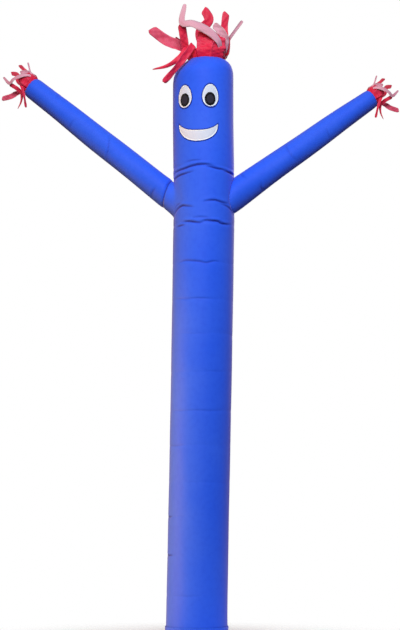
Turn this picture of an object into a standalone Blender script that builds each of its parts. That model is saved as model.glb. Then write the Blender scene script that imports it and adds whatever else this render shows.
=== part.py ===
"""Inflatable air dancer of light nylon, standing full of air: main tube with a face, two sleeves,
a cuff that straps to the blower, and cut streamers at the crown and both hands.

Metres, +Z up. The origin is the centre of the cuff's lower edge, on the ground, and the face looks
along -Y. The pieces are sewn to each other, so each clears the next by GAP.
"""

import math
from collections import namedtuple

import bmesh
import bpy
from mathutils import Vector

# Cloth thickness of each kind of piece, and the clearance between pieces
CLOTH = 0.002
CUFF_CLOTH = 0.003
STRIP_CLOTH = 0.0012
PATCH_CLOTH = 0.001
GAP = 0.0003

# Cuff, at the foot
CUFF_HEIGHT = 0.080
CUFF_FLARE = 0.002
CUFF_ROWS = 3

# Main tube
TUBE_RADIUS = 0.1525
TUBE_SIDES = 24
TUBE_FOOT = 0.068
FOLD_REACH = 0.014
FOLD_EVENNESS = 0.55
CUTTER_OVERHANG = 0.05

# Sideways shift of the tube's axis at each height: the tube leans and then straightens
Lean = namedtuple("Lean", "height shift")
LEAN = (
    Lean(0.00, 0.0000),
    Lean(0.80, 0.0155),
    Lean(1.60, 0.0290),
    Lean(2.10, 0.0385),
    Lean(2.40, 0.0380),
    Lean(2.60, 0.0350),
    Lean(3.20, 0.0350),
)

# Folds left by packing, with the neck and armpit folds: the height on the front, how deep each one
# pinches in, the direction in degrees in which it is deepest (-90 is the front), how far its +X end
# sits above its -X end, and how far its front arches above its sides
Fold = namedtuple("Fold", "height depth deepest tilt arch")
FOLDS = (
    Fold(0.236, 0.0020, -150, 0.002, 0.000),
    Fold(0.429, 0.0030, 170, 0.003, 0.001),
    Fold(0.617, 0.0030, 175, -0.002, 0.002),
    Fold(0.787, 0.0020, -60, 0.002, 0.002),
    Fold(0.968, 0.0025, -120, 0.004, 0.003),
    Fold(1.139, 0.0030, -20, -0.003, 0.003),
    Fold(1.331, 0.0025, -160, 0.003, 0.004),
    Fold(1.519, 0.0030, 10, 0.002, 0.005),
    Fold(1.692, 0.0025, -80, -0.003, 0.005),
    Fold(1.877, 0.0030, -110, 0.002, 0.006),
    Fold(2.074, 0.0050, -100, 0.004, 0.010),
    Fold(2.362, 0.0080, -90, -0.006, 0.024),
)

# Crown: rings of the tube's drawn-in top, each shifted a little towards +X, up to the vent's rim
Crown = namedtuple("Crown", "height radius shift")
CROWN = (
    Crown(2.600, 0.1525, 0.000),
    Crown(2.815, 0.1525, 0.000),
    Crown(2.850, 0.1470, 0.004),
    Crown(2.877, 0.1350, 0.013),
    Crown(2.903, 0.1160, 0.019),
    Crown(2.925, 0.0875, 0.0175),
)

# Sleeves: each axis runs from a point on the tube's side to the middle of the hand end
SLEEVE_SIDES = 20
SLEEVE_BITE = 0.09
SLEEVE_RIM = 0.022
SADDLE_GAP = 0.0009
Sleeve = namedtuple("Sleeve", "side root hand root_radius wrist_radius end_radius creases")
SLEEVES = (
    Sleeve("left", (-0.1174, -0.013, 2.2165), (-0.8627, -0.052, 2.8215), 0.0705, 0.056, 0.050, (0.44,)),
    Sleeve("right", (0.1847, 0.026, 2.2260), (0.8619, 0.273, 2.7502), 0.0750, 0.050, 0.045, (0.38,)),
)
SLEEVE_CREASE_DEPTH = 0.002
SLEEVE_CREASE_REACH = 0.012

# The left armhole is pulled out into a short socket, which ends at this seam plane
SOCKET_POINT = Vector((-0.1424, 0.0, 2.2368))
SOCKET_NORMAL = Vector((-0.94, 0.0, 0.342)).normalized()

# Face: sizes are measured along the cloth, and places as degrees round from the middle of the face
FACE_HEIGHT = 2.711
EYE_TURN = 25.7
EYE_WIDTH = 0.090
EYE_HEIGHT = 0.128
EYE_EGG = 0.12
PUPIL_WIDTH = 0.054
PUPIL_HEIGHT = 0.068
PUPIL_DROP = 0.018
PUPIL_TOE_IN = 0.6
SMILE_TURN = 39.0
SMILE_TIPS = 2.566
SMILE_UPPER_DROP = 0.030
SMILE_LOWER_DROP = 0.086
SMILE_TIP_HALF = 0.004
PATCH_SPOKES = 16
PATCH_RINGS = 2
PATCH_STANDOFF = 0.0009
SMILE_COLUMNS = 16

# Streamers: sizes for the crown, and the hands take the same ones, scaled to their own rings. The
# streamers' front is turned a little from the face's
STREAMER_FRONT = 12.4
COLLAR_TUCK = 0.020
COLLAR_TOP = 0.038
COLLAR_FLARE = 0.006
COLLAR_EASE = 0.0015
COLLAR_STEP = 30
HAND_STREAMER_SCALE = 0.5
PALE_COLLAR_INSET = 0.0075
STRIP_ROWS = 5
WIDE_STRIP = 0.05

# Each strip: degrees round the collar from its front, width where it leaves the collar, halfway and
# at the tip, twist in degrees, and the points (right, front, up) that its middle line runs through
Strip = namedtuple("Strip", "name turn root_width width tip_width twist route")
RED_STRIPS = (
    Strip("brow", -42, 0.030, 0.033, 0.034, 45,
          ((-0.067, 0.098, 0.055), (-0.108, 0.114, 0.002), (-0.162, 0.118, -0.068), (-0.222, 0.114, -0.140))),
    Strip("brow_point", -62, 0.022, 0.030, 0.006, 75,
          ((-0.105, 0.060, 0.046), (-0.140, 0.066, -0.006),
           (-0.200, 0.060, -0.044), (-0.274, 0.050, -0.060))),
    Strip("left_post", -84, 0.036, 0.038, 0.038, -95, ((-0.108, 0.015, 0.085), (-0.118, 0.012, 0.166))),
    Strip("left_wing", -114, 0.040, 0.046, 0.036, 85,
          ((-0.132, -0.030, 0.078), (-0.202, -0.035, 0.114), (-0.278, -0.035, 0.168))),
    Strip("left_tip", -141, 0.026, 0.026, 0.012, 40, ((-0.105, -0.080, 0.095), (-0.160, -0.085, 0.140))),
    Strip("back_left", -162, 0.028, 0.032, 0.030, 0, ((-0.050, -0.115, 0.070), (-0.085, -0.175, 0.045))),
    Strip("zigzag", 172, 0.040, 0.040, 0.034, -20,
          ((-0.008, -0.085, 0.095), (-0.020, -0.072, 0.172), (0.020, -0.066, 0.230), (0.011, -0.060, 0.285))),
    Strip("back_right", 144, 0.034, 0.036, 0.032, 0, ((0.065, -0.115, 0.065), (0.090, -0.170, 0.040))),
    Strip("right_low", 112, 0.028, 0.034, 0.030, -75, ((0.104, -0.045, 0.080), (0.106, -0.042, 0.128))),
    Strip("right_post", 90, 0.028, 0.032, 0.026, -100,
          ((0.098, 0.000, 0.095), (0.092, 0.005, 0.165), (0.102, 0.010, 0.246))),
    Strip("front_right", 46, 0.044, 0.040, 0.030, 30, ((0.066, 0.072, 0.062), (0.060, 0.066, 0.086))),
    Strip("front", -8, 0.066, 0.066, 0.060, 0, ((-0.012, 0.088, 0.092), (-0.014, 0.070, 0.142))),
)
PALE_STRIPS = (
    Strip("band", 22, 0.016, 0.050, 0.020, 0,
          ((0.042, 0.100, 0.100), (-0.005, 0.118, 0.131), (-0.065, 0.115, 0.160),
           (-0.122, 0.092, 0.174), (-0.110, 0.065, 0.274))),
    Strip("right_fold", 71, 0.018, 0.034, 0.030, 70,
          ((0.098, 0.042, 0.085), (0.088, 0.052, 0.132), (0.050, 0.058, 0.174))),
    Strip("right_thin", 131, 0.010, 0.018, 0.016, -70,
          ((0.098, -0.080, 0.080), (0.120, -0.076, 0.118), (0.190, -0.062, 0.222))),
)

# Colours: red, green, blue
BLUE = (0.020, 0.090, 0.800)
RED = (0.720, 0.012, 0.045)
PALE_PINK = (0.800, 0.420, 0.500)
WHITE = (0.860, 0.870, 0.880)
BLACK = (0.012, 0.012, 0.020)


def collection(name):
    """A new collection in the scene."""
    made = bpy.data.collections.new(name)
    bpy.context.scene.collection.children.link(made)
    return made


def cloth_material(name, colour, roughness):
    """A plain cloth finish."""
    material = bpy.data.materials.new(name)
    material.use_nodes = True
    shader = material.node_tree.nodes["Principled BSDF"]
    shader.inputs["Base Color"].default_value = (*colour, 1.0)
    shader.inputs["Roughness"].default_value = roughness
    shader.inputs["Metallic"].default_value = 0.0
    material.diffuse_color = (*colour, 1.0)
    return material


def add_object(name, bm, material=None):
    """Turns a bmesh into an object of the dancer, or into a hidden helper if it has no material."""
    bmesh.ops.recalc_face_normals(bm, faces=bm.faces)
    mesh = bpy.data.meshes.new(name)
    bm.to_mesh(mesh)
    bm.free()
    mesh.shade_smooth()
    obj = bpy.data.objects.new(name, mesh)
    if material:
        mesh.materials.append(material)
        dancer.objects.link(obj)
    else:
        obj.hide_render = True
        obj.display_type = "WIRE"
        helpers.objects.link(obj)
    return obj


def loft(rings, caps=False, loop=False):
    """Skins rings of equal length: open at both ends, capped, or with the last joined to the first."""
    bm = bmesh.new()
    rows = [[bm.verts.new(point) for point in ring] for ring in rings]
    pairs = list(zip(rows, rows[1:]))
    if loop:
        pairs.append((rows[-1], rows[0]))
    for low, high in pairs:
        for i in range(len(low)):
            j = (i + 1) % len(low)
            bm.faces.new((low[i], low[j], high[j], high[i]))
    if caps:
        bm.faces.new(reversed(rows[0]))
        bm.faces.new(rows[-1])
    return bm


def solidify(obj, thickness, offset):
    """Gives an open sheet its thickness: offset 1 is outwards, -1 inwards and 0 half each way."""
    modifier = obj.modifiers.new("Cloth thickness", "SOLIDIFY")
    modifier.thickness = thickness
    modifier.offset = offset


def boolean(obj, other, operation):
    modifier = obj.modifiers.new(f"{operation.title()} {other.name}", "BOOLEAN")
    modifier.object = other
    modifier.operation = operation
    modifier.solver = "EXACT"


def lean_at(height):
    """The tube axis's sideways shift at a height."""
    for low, high in zip(LEAN, LEAN[1:]):
        if height <= high.height:
            share = (height - low.height) / (high.height - low.height)
            return low.shift + share * (high.shift - low.shift)
    return LEAN[-1].shift


def circle_point(angle, radius, shift, height):
    return Vector((shift + radius * math.cos(angle), radius * math.sin(angle), height))


def plain_ring(height, radius, shift=0.0):
    """A level ring of the tube."""
    turns = (2 * math.pi * i / TUBE_SIDES for i in range(TUBE_SIDES))
    return [circle_point(turn, radius, lean_at(height) + shift, height) for turn in turns]


def fold_ring(fold, reach, depth, grow):
    """One ring of a fold: it pinches in most on the fold's deepest side, tilts and arches."""
    ring = []
    for i in range(TUBE_SIDES):
        turn = 2 * math.pi * i / TUBE_SIDES
        share = FOLD_EVENNESS + (1 - FOLD_EVENNESS) * math.cos(turn - math.radians(fold.deepest))
        radius = TUBE_RADIUS + grow - depth * max(share, 0.0)
        front = (1 - math.sin(turn)) / 2
        height = fold.height + reach + fold.tilt * math.cos(turn) / 2 - fold.arch * (1 - front)
        ring.append(circle_point(turn, radius, lean_at(fold.height), height))
    return ring


def tube_rings(grow):
    """The main tube's rings from foot to vent, with its surface moved out by grow."""
    rings = [plain_ring(TUBE_FOOT, TUBE_RADIUS + grow)]
    for fold in FOLDS:
        for step in (-1, 0, 1):
            rings.append(fold_ring(fold, step * FOLD_REACH, fold.depth * (step == 0), grow))
    rings += [plain_ring(row.height, row.radius + grow, row.shift) for row in CROWN]
    return rings


def inner_tube_rings():
    """The space inside the tube, run on a little past its open foot and vent."""
    rings = tube_rings(-CLOTH)
    drop = Vector((0, 0, CUTTER_OVERHANG))
    return [[p - drop for p in rings[0]]] + rings + [[p + drop for p in rings[-1]]]


def sleeve_axis(sleeve):
    """The sleeve's root, hand and unit direction."""
    root = Vector(sleeve.root)
    hand = Vector(sleeve.hand)
    return root, hand, (hand - root).normalized()


def sleeve_ring(sleeve, along, radius):
    """A ring square to the sleeve's axis, at a distance along it from the root."""
    root, _, axis = sleeve_axis(sleeve)
    side = axis.cross(Vector((0, 0, 1))).normalized()
    upper = side.cross(axis)
    ring = []
    for i in range(SLEEVE_SIDES):
        turn = 2 * math.pi * i / SLEEVE_SIDES
        ring.append(root + axis * along + radius * (math.cos(turn) * side + math.sin(turn) * upper))
    return ring


def to_plane(start, end, point, normal):
    """Where the line from start to end crosses a plane."""
    way = end - start
    return start + way * ((point - start).dot(normal) / way.dot(normal))


def to_tube(start, end, radius):
    """Where the line from start, inside the tube, to end leaves an upright cylinder on the tube's axis."""
    centre = Vector((lean_at(start.z), 0.0))
    offset = start.xy - centre
    way = end - start
    a = way.xy.length_squared
    b = 2 * offset.dot(way.xy)
    c = offset.length_squared - radius ** 2
    return start + way * ((-b + math.sqrt(b * b - 4 * a * c)) / (2 * a))


def sleeve_rings(sleeve, grow):
    """A sleeve's rings from the armhole seam to the hand end, with its surface moved in by -grow."""
    root, hand, _ = sleeve_axis(sleeve)
    length = (hand - root).length
    wrist = length - SLEEVE_RIM
    slope = (sleeve.wrist_radius - sleeve.root_radius) / wrist
    inside = sleeve_ring(sleeve, -SLEEVE_BITE, sleeve.root_radius - slope * SLEEVE_BITE + grow)
    outside = sleeve_ring(sleeve, wrist, sleeve.wrist_radius + grow)
    if sleeve.side == "left":
        seam = SOCKET_POINT + SOCKET_NORMAL * GAP
        rings = [[to_plane(p, q, seam, SOCKET_NORMAL) for p, q in zip(inside, outside)]]
    else:
        rings = [[to_tube(p, q, TUBE_RADIUS + SADDLE_GAP) for p, q in zip(inside, outside)]]
    for share in sleeve.creases:
        along = share * wrist
        for step in (-1, 0, 1):
            pinch = SLEEVE_CREASE_DEPTH * (step == 0)
            radius = sleeve.root_radius + slope * along + grow - pinch
            rings.append(sleeve_ring(sleeve, along + step * SLEEVE_CREASE_REACH, radius))
    rings.append(outside)
    rings.append(sleeve_ring(sleeve, length, sleeve.end_radius + grow))
    return rings


def sleeve_core(sleeve, grow, to_seam):
    """A closed cone along the sleeve's first stretch, from inside the tube to the seam or past it."""
    _, hand, _ = sleeve_axis(sleeve)
    slope = (sleeve.wrist_radius - sleeve.root_radius) / ((hand - Vector(sleeve.root)).length - SLEEVE_RIM)
    start = sleeve_ring(sleeve, -SLEEVE_BITE, sleeve.root_radius - slope * SLEEVE_BITE + grow)
    end = sleeve_ring(sleeve, 2 * SLEEVE_BITE, sleeve.root_radius + slope * 2 * SLEEVE_BITE + grow)
    if to_seam:
        end = [to_plane(p, q, SOCKET_POINT, SOCKET_NORMAL) for p, q in zip(start, end)]
    return loft([start, end], caps=True)


def make_cuff(material):
    """The band at the foot, sewn over the tube's lower edge and flared a little to the ground."""
    inner = TUBE_RADIUS + GAP
    rings = []
    for row in range(CUFF_ROWS):
        share = row / (CUFF_ROWS - 1)
        rings.append(plain_ring(CUFF_HEIGHT * share, inner + CUFF_CLOTH + CUFF_FLARE * (1 - share)))
    for row in reversed(range(CUFF_ROWS)):
        share = row / (CUFF_ROWS - 1)
        rings.append(plain_ring(CUFF_HEIGHT * share, inner + CUFF_FLARE * (1 - share)))
    add_object("blower_cuff", loft(rings, loop=True), material)


def make_main_tube(material):
    """The one long piece: body, shoulders, head and crown, with both armholes cut out."""
    left, right = SLEEVES
    tube = add_object("main_tube", loft(tube_rings(0.0), caps=True), material)
    boolean(tube, add_object("socket_outside", sleeve_core(left, 0.0, True)), "UNION")
    boolean(tube, add_object("tube_inside", loft(inner_tube_rings(), caps=True)), "DIFFERENCE")
    for sleeve in (left, right):
        hole = add_object(f"{sleeve.side}_armhole", sleeve_core(sleeve, -CLOTH, False))
        boolean(tube, hole, "DIFFERENCE")


def make_sleeve(sleeve, material):
    """A tapered sleeve, open at the armhole seam and at the drawn-in hand end."""
    outer = sleeve_rings(sleeve, 0.0)
    inner = sleeve_rings(sleeve, -CLOTH)
    add_object(f"sleeve_{sleeve.side}", loft(outer + inner[::-1], loop=True), material)


def on_head(turn, height, radius):
    """A point on the head, turned in radians from the middle of the face."""
    return circle_point(turn - math.pi / 2, radius, lean_at(height), height)


def oval_patch(name, turn_degrees, height, size, egg, level, material):
    """An oval of cloth laid round the head, wider above or below its middle by egg."""
    width, tall = size
    radius = TUBE_RADIUS + PATCH_STANDOFF + level * (PATCH_CLOTH + GAP)
    middle = math.radians(turn_degrees)
    bm = bmesh.new()
    centre = bm.verts.new(on_head(middle, height, radius))
    rows = []
    for ring in range(1, PATCH_RINGS + 1):
        share = ring / PATCH_RINGS
        row = []
        for i in range(PATCH_SPOKES):
            angle = 2 * math.pi * i / PATCH_SPOKES
            across = share * width / 2 * math.cos(angle) * (1 - egg * math.sin(angle))
            up = share * tall / 2 * math.sin(angle)
            row.append(bm.verts.new(on_head(middle + across / TUBE_RADIUS, height + up, radius)))
        rows.append(row)
    for i in range(PATCH_SPOKES):
        j = (i + 1) % PATCH_SPOKES
        bm.faces.new((centre, rows[0][i], rows[0][j]))
        for low, high in zip(rows, rows[1:]):
            bm.faces.new((low[i], high[i], high[j], low[j]))
    obj = add_object(name, bm, material)
    solidify(obj, PATCH_CLOTH, 1)


def make_smile(material):
    """A crescent of cloth laid round the head under the eyes."""
    bm = bmesh.new()
    columns = []
    for i in range(SMILE_COLUMNS + 1):
        share = 2 * i / SMILE_COLUMNS - 1
        dip = 1 - share ** 2
        top = SMILE_TIPS + SMILE_TIP_HALF - SMILE_UPPER_DROP * dip
        bottom = SMILE_TIPS - SMILE_TIP_HALF - SMILE_LOWER_DROP * math.sqrt(dip)
        turn = math.radians(SMILE_TURN * share)
        heights = (bottom, (bottom + top) / 2, top)
        columns.append([bm.verts.new(on_head(turn, h, TUBE_RADIUS + PATCH_STANDOFF)) for h in heights])
    for near, far in zip(columns, columns[1:]):
        for k in range(2):
            bm.faces.new((near[k], far[k], far[k + 1], near[k + 1]))
    solidify(add_object("smile", bm, material), PATCH_CLOTH, 1)


def route_point(points, share):
    """A point on the smooth curve through the points, at a share of the way along them."""
    place = share * (len(points) - 1)
    k = min(int(place), len(points) - 2)
    t = place - k
    p1 = points[k]
    p2 = points[k + 1]
    p0 = points[k - 1] if k else 2 * p1 - p2
    p3 = points[k + 2] if k + 2 < len(points) else 2 * p2 - p1
    curve = 2 * p1 + (p2 - p0) * t + (2 * p0 - 5 * p1 + 4 * p2 - p3) * t ** 2
    return (curve + (3 * p1 - p0 - 3 * p2 + p3) * t ** 3) / 2


def strip_width(strip, share):
    """The strip's width at a share of its length."""
    if share < 0.5:
        return strip.root_width + (strip.width - strip.root_width) * 2 * share
    return strip.width + (strip.tip_width - strip.width) * (2 * share - 1)


def strip_rows(strip, radius, unit):
    """Rows of points across the strip, from just past the collar to the tip, in the streamers' frame."""
    turn = math.radians(strip.turn)
    out = Vector((math.sin(turn), math.cos(turn), 0))
    across = Vector((math.cos(turn), -math.sin(turn), 0))
    root = out * (radius + COLLAR_FLARE * unit) + Vector((0, 0, COLLAR_TOP * unit))
    points = [root] + [Vector(p) * unit for p in strip.route]
    rows = []
    for row in range(1, STRIP_ROWS + 1):
        share = row / STRIP_ROWS
        ahead = route_point(points, min(share + 0.01, 1.0)) - route_point(points, share - 0.01)
        ahead.normalize()
        across = (across - ahead * across.dot(ahead)).normalized()
        twist = math.radians(strip.twist) * share
        lie = across * math.cos(twist) + ahead.cross(across) * math.sin(twist)
        half = lie * strip_width(strip, share) * unit / 2
        cells = strip_cells(strip)
        middle = route_point(points, share)
        rows.append([middle + half * (2 * k / cells - 1) for k in range(cells + 1)])
    return rows


def strip_cells(strip):
    """How many faces wide a strip is."""
    return 2 if strip.root_width > WIDE_STRIP else 1


def collar_stations(strips, radius, unit):
    """Degrees round the collar, each with the strip edge that starts there or None, evenly filled in."""
    stations = []
    for strip in strips:
        half = math.degrees(strip.root_width * unit / 2 / (radius + COLLAR_FLARE * unit))
        cells = strip_cells(strip)
        for k in range(cells + 1):
            stations.append(((strip.turn + half * (2 * k / cells - 1)) % 360, (strip.name, k)))
    stations.sort()
    filled = []
    for (turn, key), (next_turn, _) in zip(stations, stations[1:] + stations[:1]):
        filled.append((turn, key))
        gap = (next_turn - turn) % 360
        extra = int(gap // COLLAR_STEP)
        filled += [(turn + gap * (k + 1) / (extra + 1), None) for k in range(extra)]
    return filled


def make_streamers(name, strips, radius, unit, frame, material):
    """A comb of streamers: a collar tucked in at the end of a tube, and strips cut from its free edge."""
    origin, right, front, up = frame

    def place(bm, point):
        return bm.verts.new(origin + right * point.x + front * point.y + up * point.z)

    bm = bmesh.new()
    tops = {}
    columns = []
    for degrees, key in collar_stations(strips, radius, unit):
        turn = math.radians(degrees)
        column = []
        for height, spread in ((-COLLAR_TUCK, 0), (0, 0), (COLLAR_TOP, COLLAR_FLARE)):
            reach = radius + spread * unit
            point = Vector((reach * math.sin(turn), reach * math.cos(turn), height * unit))
            column.append(place(bm, point))
        columns.append(column)
        tops[key] = column[-1]
    for near, far in zip(columns, columns[1:] + columns[:1]):
        for k in range(2):
            bm.faces.new((near[k], far[k], far[k + 1], near[k + 1]))
    for strip in strips:
        low = [tops[(strip.name, k)] for k in range(strip_cells(strip) + 1)]
        for row in strip_rows(strip, radius, unit):
            high = [place(bm, point) for point in row]
            for k in range(len(low) - 1):
                bm.faces.new((low[k], low[k + 1], high[k + 1], high[k]))
            low = high
    solidify(add_object(name, bm, material), STRIP_CLOTH, 0)


def streamer_frame(origin, up, hand):
    """Origin and the right, front and up directions of a set of streamers; hand is -1 for a mirrored set."""
    look = math.radians(STREAMER_FRONT)
    front = Vector((math.sin(look), -math.cos(look), 0))
    front = (front - up * front.dot(up)).normalized()
    return origin, up.cross(front) * hand, front, up


def make_streamer_pair(place, opening_radius, unit, frame):
    """The red comb at an opening, and the pale one just inside it."""
    radius = opening_radius - CLOTH - COLLAR_EASE
    make_streamers(f"{place}_streamers_red", RED_STRIPS, radius, unit, frame, red_cloth)
    inner = radius - PALE_COLLAR_INSET * unit
    make_streamers(f"{place}_streamers_pale", PALE_STRIPS, inner, unit, frame, pale_cloth)


for old in list(bpy.data.objects):
    bpy.data.objects.remove(old)
dancer = collection("air_dancer")
helpers = collection("helpers")

blue_cloth = cloth_material("blue_nylon", BLUE, 0.45)
red_cloth = cloth_material("red_nylon", RED, 0.5)
pale_cloth = cloth_material("pale_pink_nylon", PALE_PINK, 0.55)
white_cloth = cloth_material("white_applique", WHITE, 0.6)
black_cloth = cloth_material("black_applique", BLACK, 0.6)

make_cuff(blue_cloth)
make_main_tube(blue_cloth)
for sleeve in SLEEVES:
    make_sleeve(sleeve, blue_cloth)

for side, sign in (("left", -1), ("right", 1)):
    eye_turn = sign * EYE_TURN
    oval_patch(f"eye_{side}", eye_turn, FACE_HEIGHT, (EYE_WIDTH, EYE_HEIGHT), EYE_EGG, 0, white_cloth)
    pupil_turn = eye_turn - sign * PUPIL_TOE_IN
    pupil_size = (PUPIL_WIDTH, PUPIL_HEIGHT)
    oval_patch(f"pupil_{side}", pupil_turn, FACE_HEIGHT - PUPIL_DROP, pupil_size, 0.0, 1, black_cloth)
make_smile(white_cloth)

vent = CROWN[-1]
vent_centre = Vector((lean_at(vent.height) + vent.shift, 0, vent.height))
make_streamer_pair("crown", vent.radius, 1.0, streamer_frame(vent_centre, Vector((0, 0, 1)), 1))
for sleeve, mirror in zip(SLEEVES, (1, -1)):
    _, hand_end, axis = sleeve_axis(sleeve)
    frame = streamer_frame(hand_end, axis, mirror)
    make_streamer_pair(f"{sleeve.side}_hand", sleeve.end_radius, HAND_STREAMER_SCALE, frame)
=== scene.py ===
"""Looks of the inflatable air dancer: a length of blue nylon tube kept full of air, with a face sewn on,
two sleeves, a cuff for the blower, and torn-looking streamers at the crown and both hands.

The file follows the dancer as it is made up: the studio first, then the tube, the sleeves, the cuff, the
face and the streamers. Metres, +Z up, the face towards -Y.
"""

import math
from collections import namedtuple

import bmesh
import bpy
import numpy as np
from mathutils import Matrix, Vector


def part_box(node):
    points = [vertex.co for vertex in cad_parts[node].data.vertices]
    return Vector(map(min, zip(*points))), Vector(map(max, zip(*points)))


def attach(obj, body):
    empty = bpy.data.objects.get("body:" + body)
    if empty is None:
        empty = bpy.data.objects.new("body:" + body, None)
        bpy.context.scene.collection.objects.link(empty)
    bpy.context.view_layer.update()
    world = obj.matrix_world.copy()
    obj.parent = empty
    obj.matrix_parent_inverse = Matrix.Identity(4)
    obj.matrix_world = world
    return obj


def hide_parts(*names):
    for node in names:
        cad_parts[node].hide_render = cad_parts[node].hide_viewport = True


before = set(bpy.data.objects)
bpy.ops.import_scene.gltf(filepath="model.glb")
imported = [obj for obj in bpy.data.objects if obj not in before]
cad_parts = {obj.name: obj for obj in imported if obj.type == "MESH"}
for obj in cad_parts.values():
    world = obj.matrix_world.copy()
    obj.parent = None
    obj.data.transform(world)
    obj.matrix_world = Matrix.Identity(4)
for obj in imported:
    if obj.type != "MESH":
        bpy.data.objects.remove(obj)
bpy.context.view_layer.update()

# ---------------------------------------------------------------------------------------------------------
# Studio: a pale floor that runs out into a white room, a big soft lamp high up in front, a warm one low
# down on the left, a soft one behind, and a camera low down in front of the dancer, looking up.

WHITE_ROOM = (1.0, 1.0, 1.0)
ROOM_LIGHT_RIGHT = (0.32, 0.40, 0.50)
ROOM_LIGHT_LEFT = (0.60, 0.32, 0.12)
ROOM_LIGHT_BELOW = (0.07, 0.06, 0.06)
BELOW_TO_ABOVE = (-0.35, 0.45)
LEFT_TO_RIGHT = (-0.75, 0.15)
FLOOR_PALE = (0.82, 0.82, 0.82)
FLOOR_ROUGHNESS = 0.8
FLOOR_REACH = 12.0
FLOOR_CORNERS = 96
FLOOR_FADE_FROM = 0.35
FLOOR_FADE_TO = 1.5

CAMERA_TURN = math.radians(12.4)
CAMERA_TILT = math.radians(5.6)
CAMERA_AWAY = 8.75
CAMERA_ASIDE = 0.0175
CAMERA_HEIGHT = 0.765
CAMERA_LENS = 100

# Each lamp: its place and aim, its width and height, watts, colour, and the degrees its light spreads to
Lamp = namedtuple("Lamp", "name place aim size power colour spread")
LAMPS = (
    Lamp("key", (0.9, -4.8, 4.6), (0.0, 0.0, 2.1), (2.4, 2.4), 119, (1.0, 1.0, 1.0), 115),
    Lamp("warm_wall", (-3.4, -1.2, 0.5), (0.0, 0.0, 0.9), (2.8, 2.0), 51, (1.0, 0.46, 0.14), 54),
    Lamp("behind", (0.8, 5.0, 3.4), (0.0, 0.0, 1.6), (3.0, 3.0), 48, (0.92, 0.96, 1.0), 120),
)


class Wire:
    """A value in a material. Sums on it are written as plain Python and become Math nodes."""

    def __init__(self, finish, socket):
        self.finish = finish
        self.socket = socket

    def sum_with(self, operation, first, second):
        return self.finish.node("ShaderNodeMath", {"operation": operation}, {0: first, 1: second})

    def __add__(self, other):
        return self.sum_with("ADD", self, other)

    __radd__ = __add__

    def __sub__(self, other):
        return self.sum_with("SUBTRACT", self, other)

    def __rsub__(self, other):
        return self.sum_with("SUBTRACT", other, self)

    def __mul__(self, other):
        return self.sum_with("MULTIPLY", self, other)

    __rmul__ = __mul__


class Finish:
    """The node tree of a material or of the room, and the one way of adding a node to it."""

    def __init__(self, tree):
        self.tree = tree

    def node(self, kind, settings=None, inputs=None, output=0):
        made = self.tree.nodes.new(kind)
        for name, value in (settings or {}).items():
            setattr(made, name, value)
        for name, value in (inputs or {}).items():
            self.feed(made.inputs[name], value)
        return Wire(self, made.outputs[output])

    def feed(self, socket, value):
        if isinstance(value, Wire):
            self.tree.links.new(value.socket, socket)
        elif hasattr(value, "__len__") and len(value) == 3 and len(socket.default_value) == 4:
            socket.default_value = (*value, 1.0)
        else:
            socket.default_value = value

    def mix(self, share, first, second):
        """A colour between two, by share."""
        return self.node(
            "ShaderNodeMix", {"data_type": "RGBA"}, {"Factor": share, 6: first, 7: second}, output=2
        )

    def ease(self, value, low, high, start=0.0, end=1.0, shape="SMOOTHSTEP"):
        """Goes smoothly from start to end, as the value goes from low to high."""
        return self.node(
            "ShaderNodeMapRange", {"interpolation_type": shape},
            {"Value": value, "From Min": low, "From Max": high, "To Min": start, "To Max": end},
        )

    def part(self, vector, axis):
        """One of a vector's three numbers."""
        return self.node("ShaderNodeSeparateXYZ", None, {0: vector}, output=axis)

    def mark(self, name):
        """A measure that is kept on the cloth's points."""
        return self.node("ShaderNodeAttribute", {"attribute_name": name}, output="Fac")


def pointing(place, aim):
    """The rotation that looks from a place towards an aim."""
    return (Vector(aim) - Vector(place)).to_track_quat("-Z", "Y").to_euler()


room = bpy.data.worlds.new("white_room")
room.use_nodes = True
bpy.context.scene.world = room
room_finish = Finish(room.node_tree)
direction = room_finish.node("ShaderNodeTexCoord", output="Generated")
upward = room_finish.ease(room_finish.part(direction, "Z"), *BELOW_TO_ABOVE)
rightward = room_finish.ease(room_finish.part(direction, "X"), *LEFT_TO_RIGHT)
light_from_sides = room_finish.mix(rightward, ROOM_LIGHT_LEFT, ROOM_LIGHT_RIGHT)
light_from_room = room_finish.mix(upward, ROOM_LIGHT_BELOW, light_from_sides)
seen_directly = room_finish.node("ShaderNodeLightPath", output="Is Camera Ray")
room_colour = room_finish.mix(seen_directly, light_from_room, WHITE_ROOM)
background = room.node_tree.nodes["Background"]
room_finish.feed(background.inputs["Color"], room_colour)

bpy.ops.mesh.primitive_circle_add(vertices=FLOOR_CORNERS, radius=FLOOR_REACH, fill_type="NGON")
floor = bpy.context.object
floor.name = "floor"
floor_material = bpy.data.materials.new("pale_floor")
floor_material.use_nodes = True
floor_finish = Finish(floor_material.node_tree)
floor_shader = floor_material.node_tree.nodes["Principled BSDF"]
floor_finish.feed(floor_shader.inputs["Base Color"], FLOOR_PALE)
floor_finish.feed(floor_shader.inputs["Roughness"], FLOOR_ROUGHNESS)
on_floor = floor_finish.node("ShaderNodeTexCoord", output="Object")
from_middle = floor_finish.node(
    "ShaderNodeVectorMath", {"operation": "LENGTH"}, {0: on_floor}, output="Value"
)
fade = floor_finish.ease(from_middle, FLOOR_FADE_FROM, FLOOR_FADE_TO, 1.0, 0.0, "SMOOTHERSTEP")
floor_finish.feed(floor_shader.inputs["Alpha"], fade)
floor.data.materials.append(floor_material)

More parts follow.
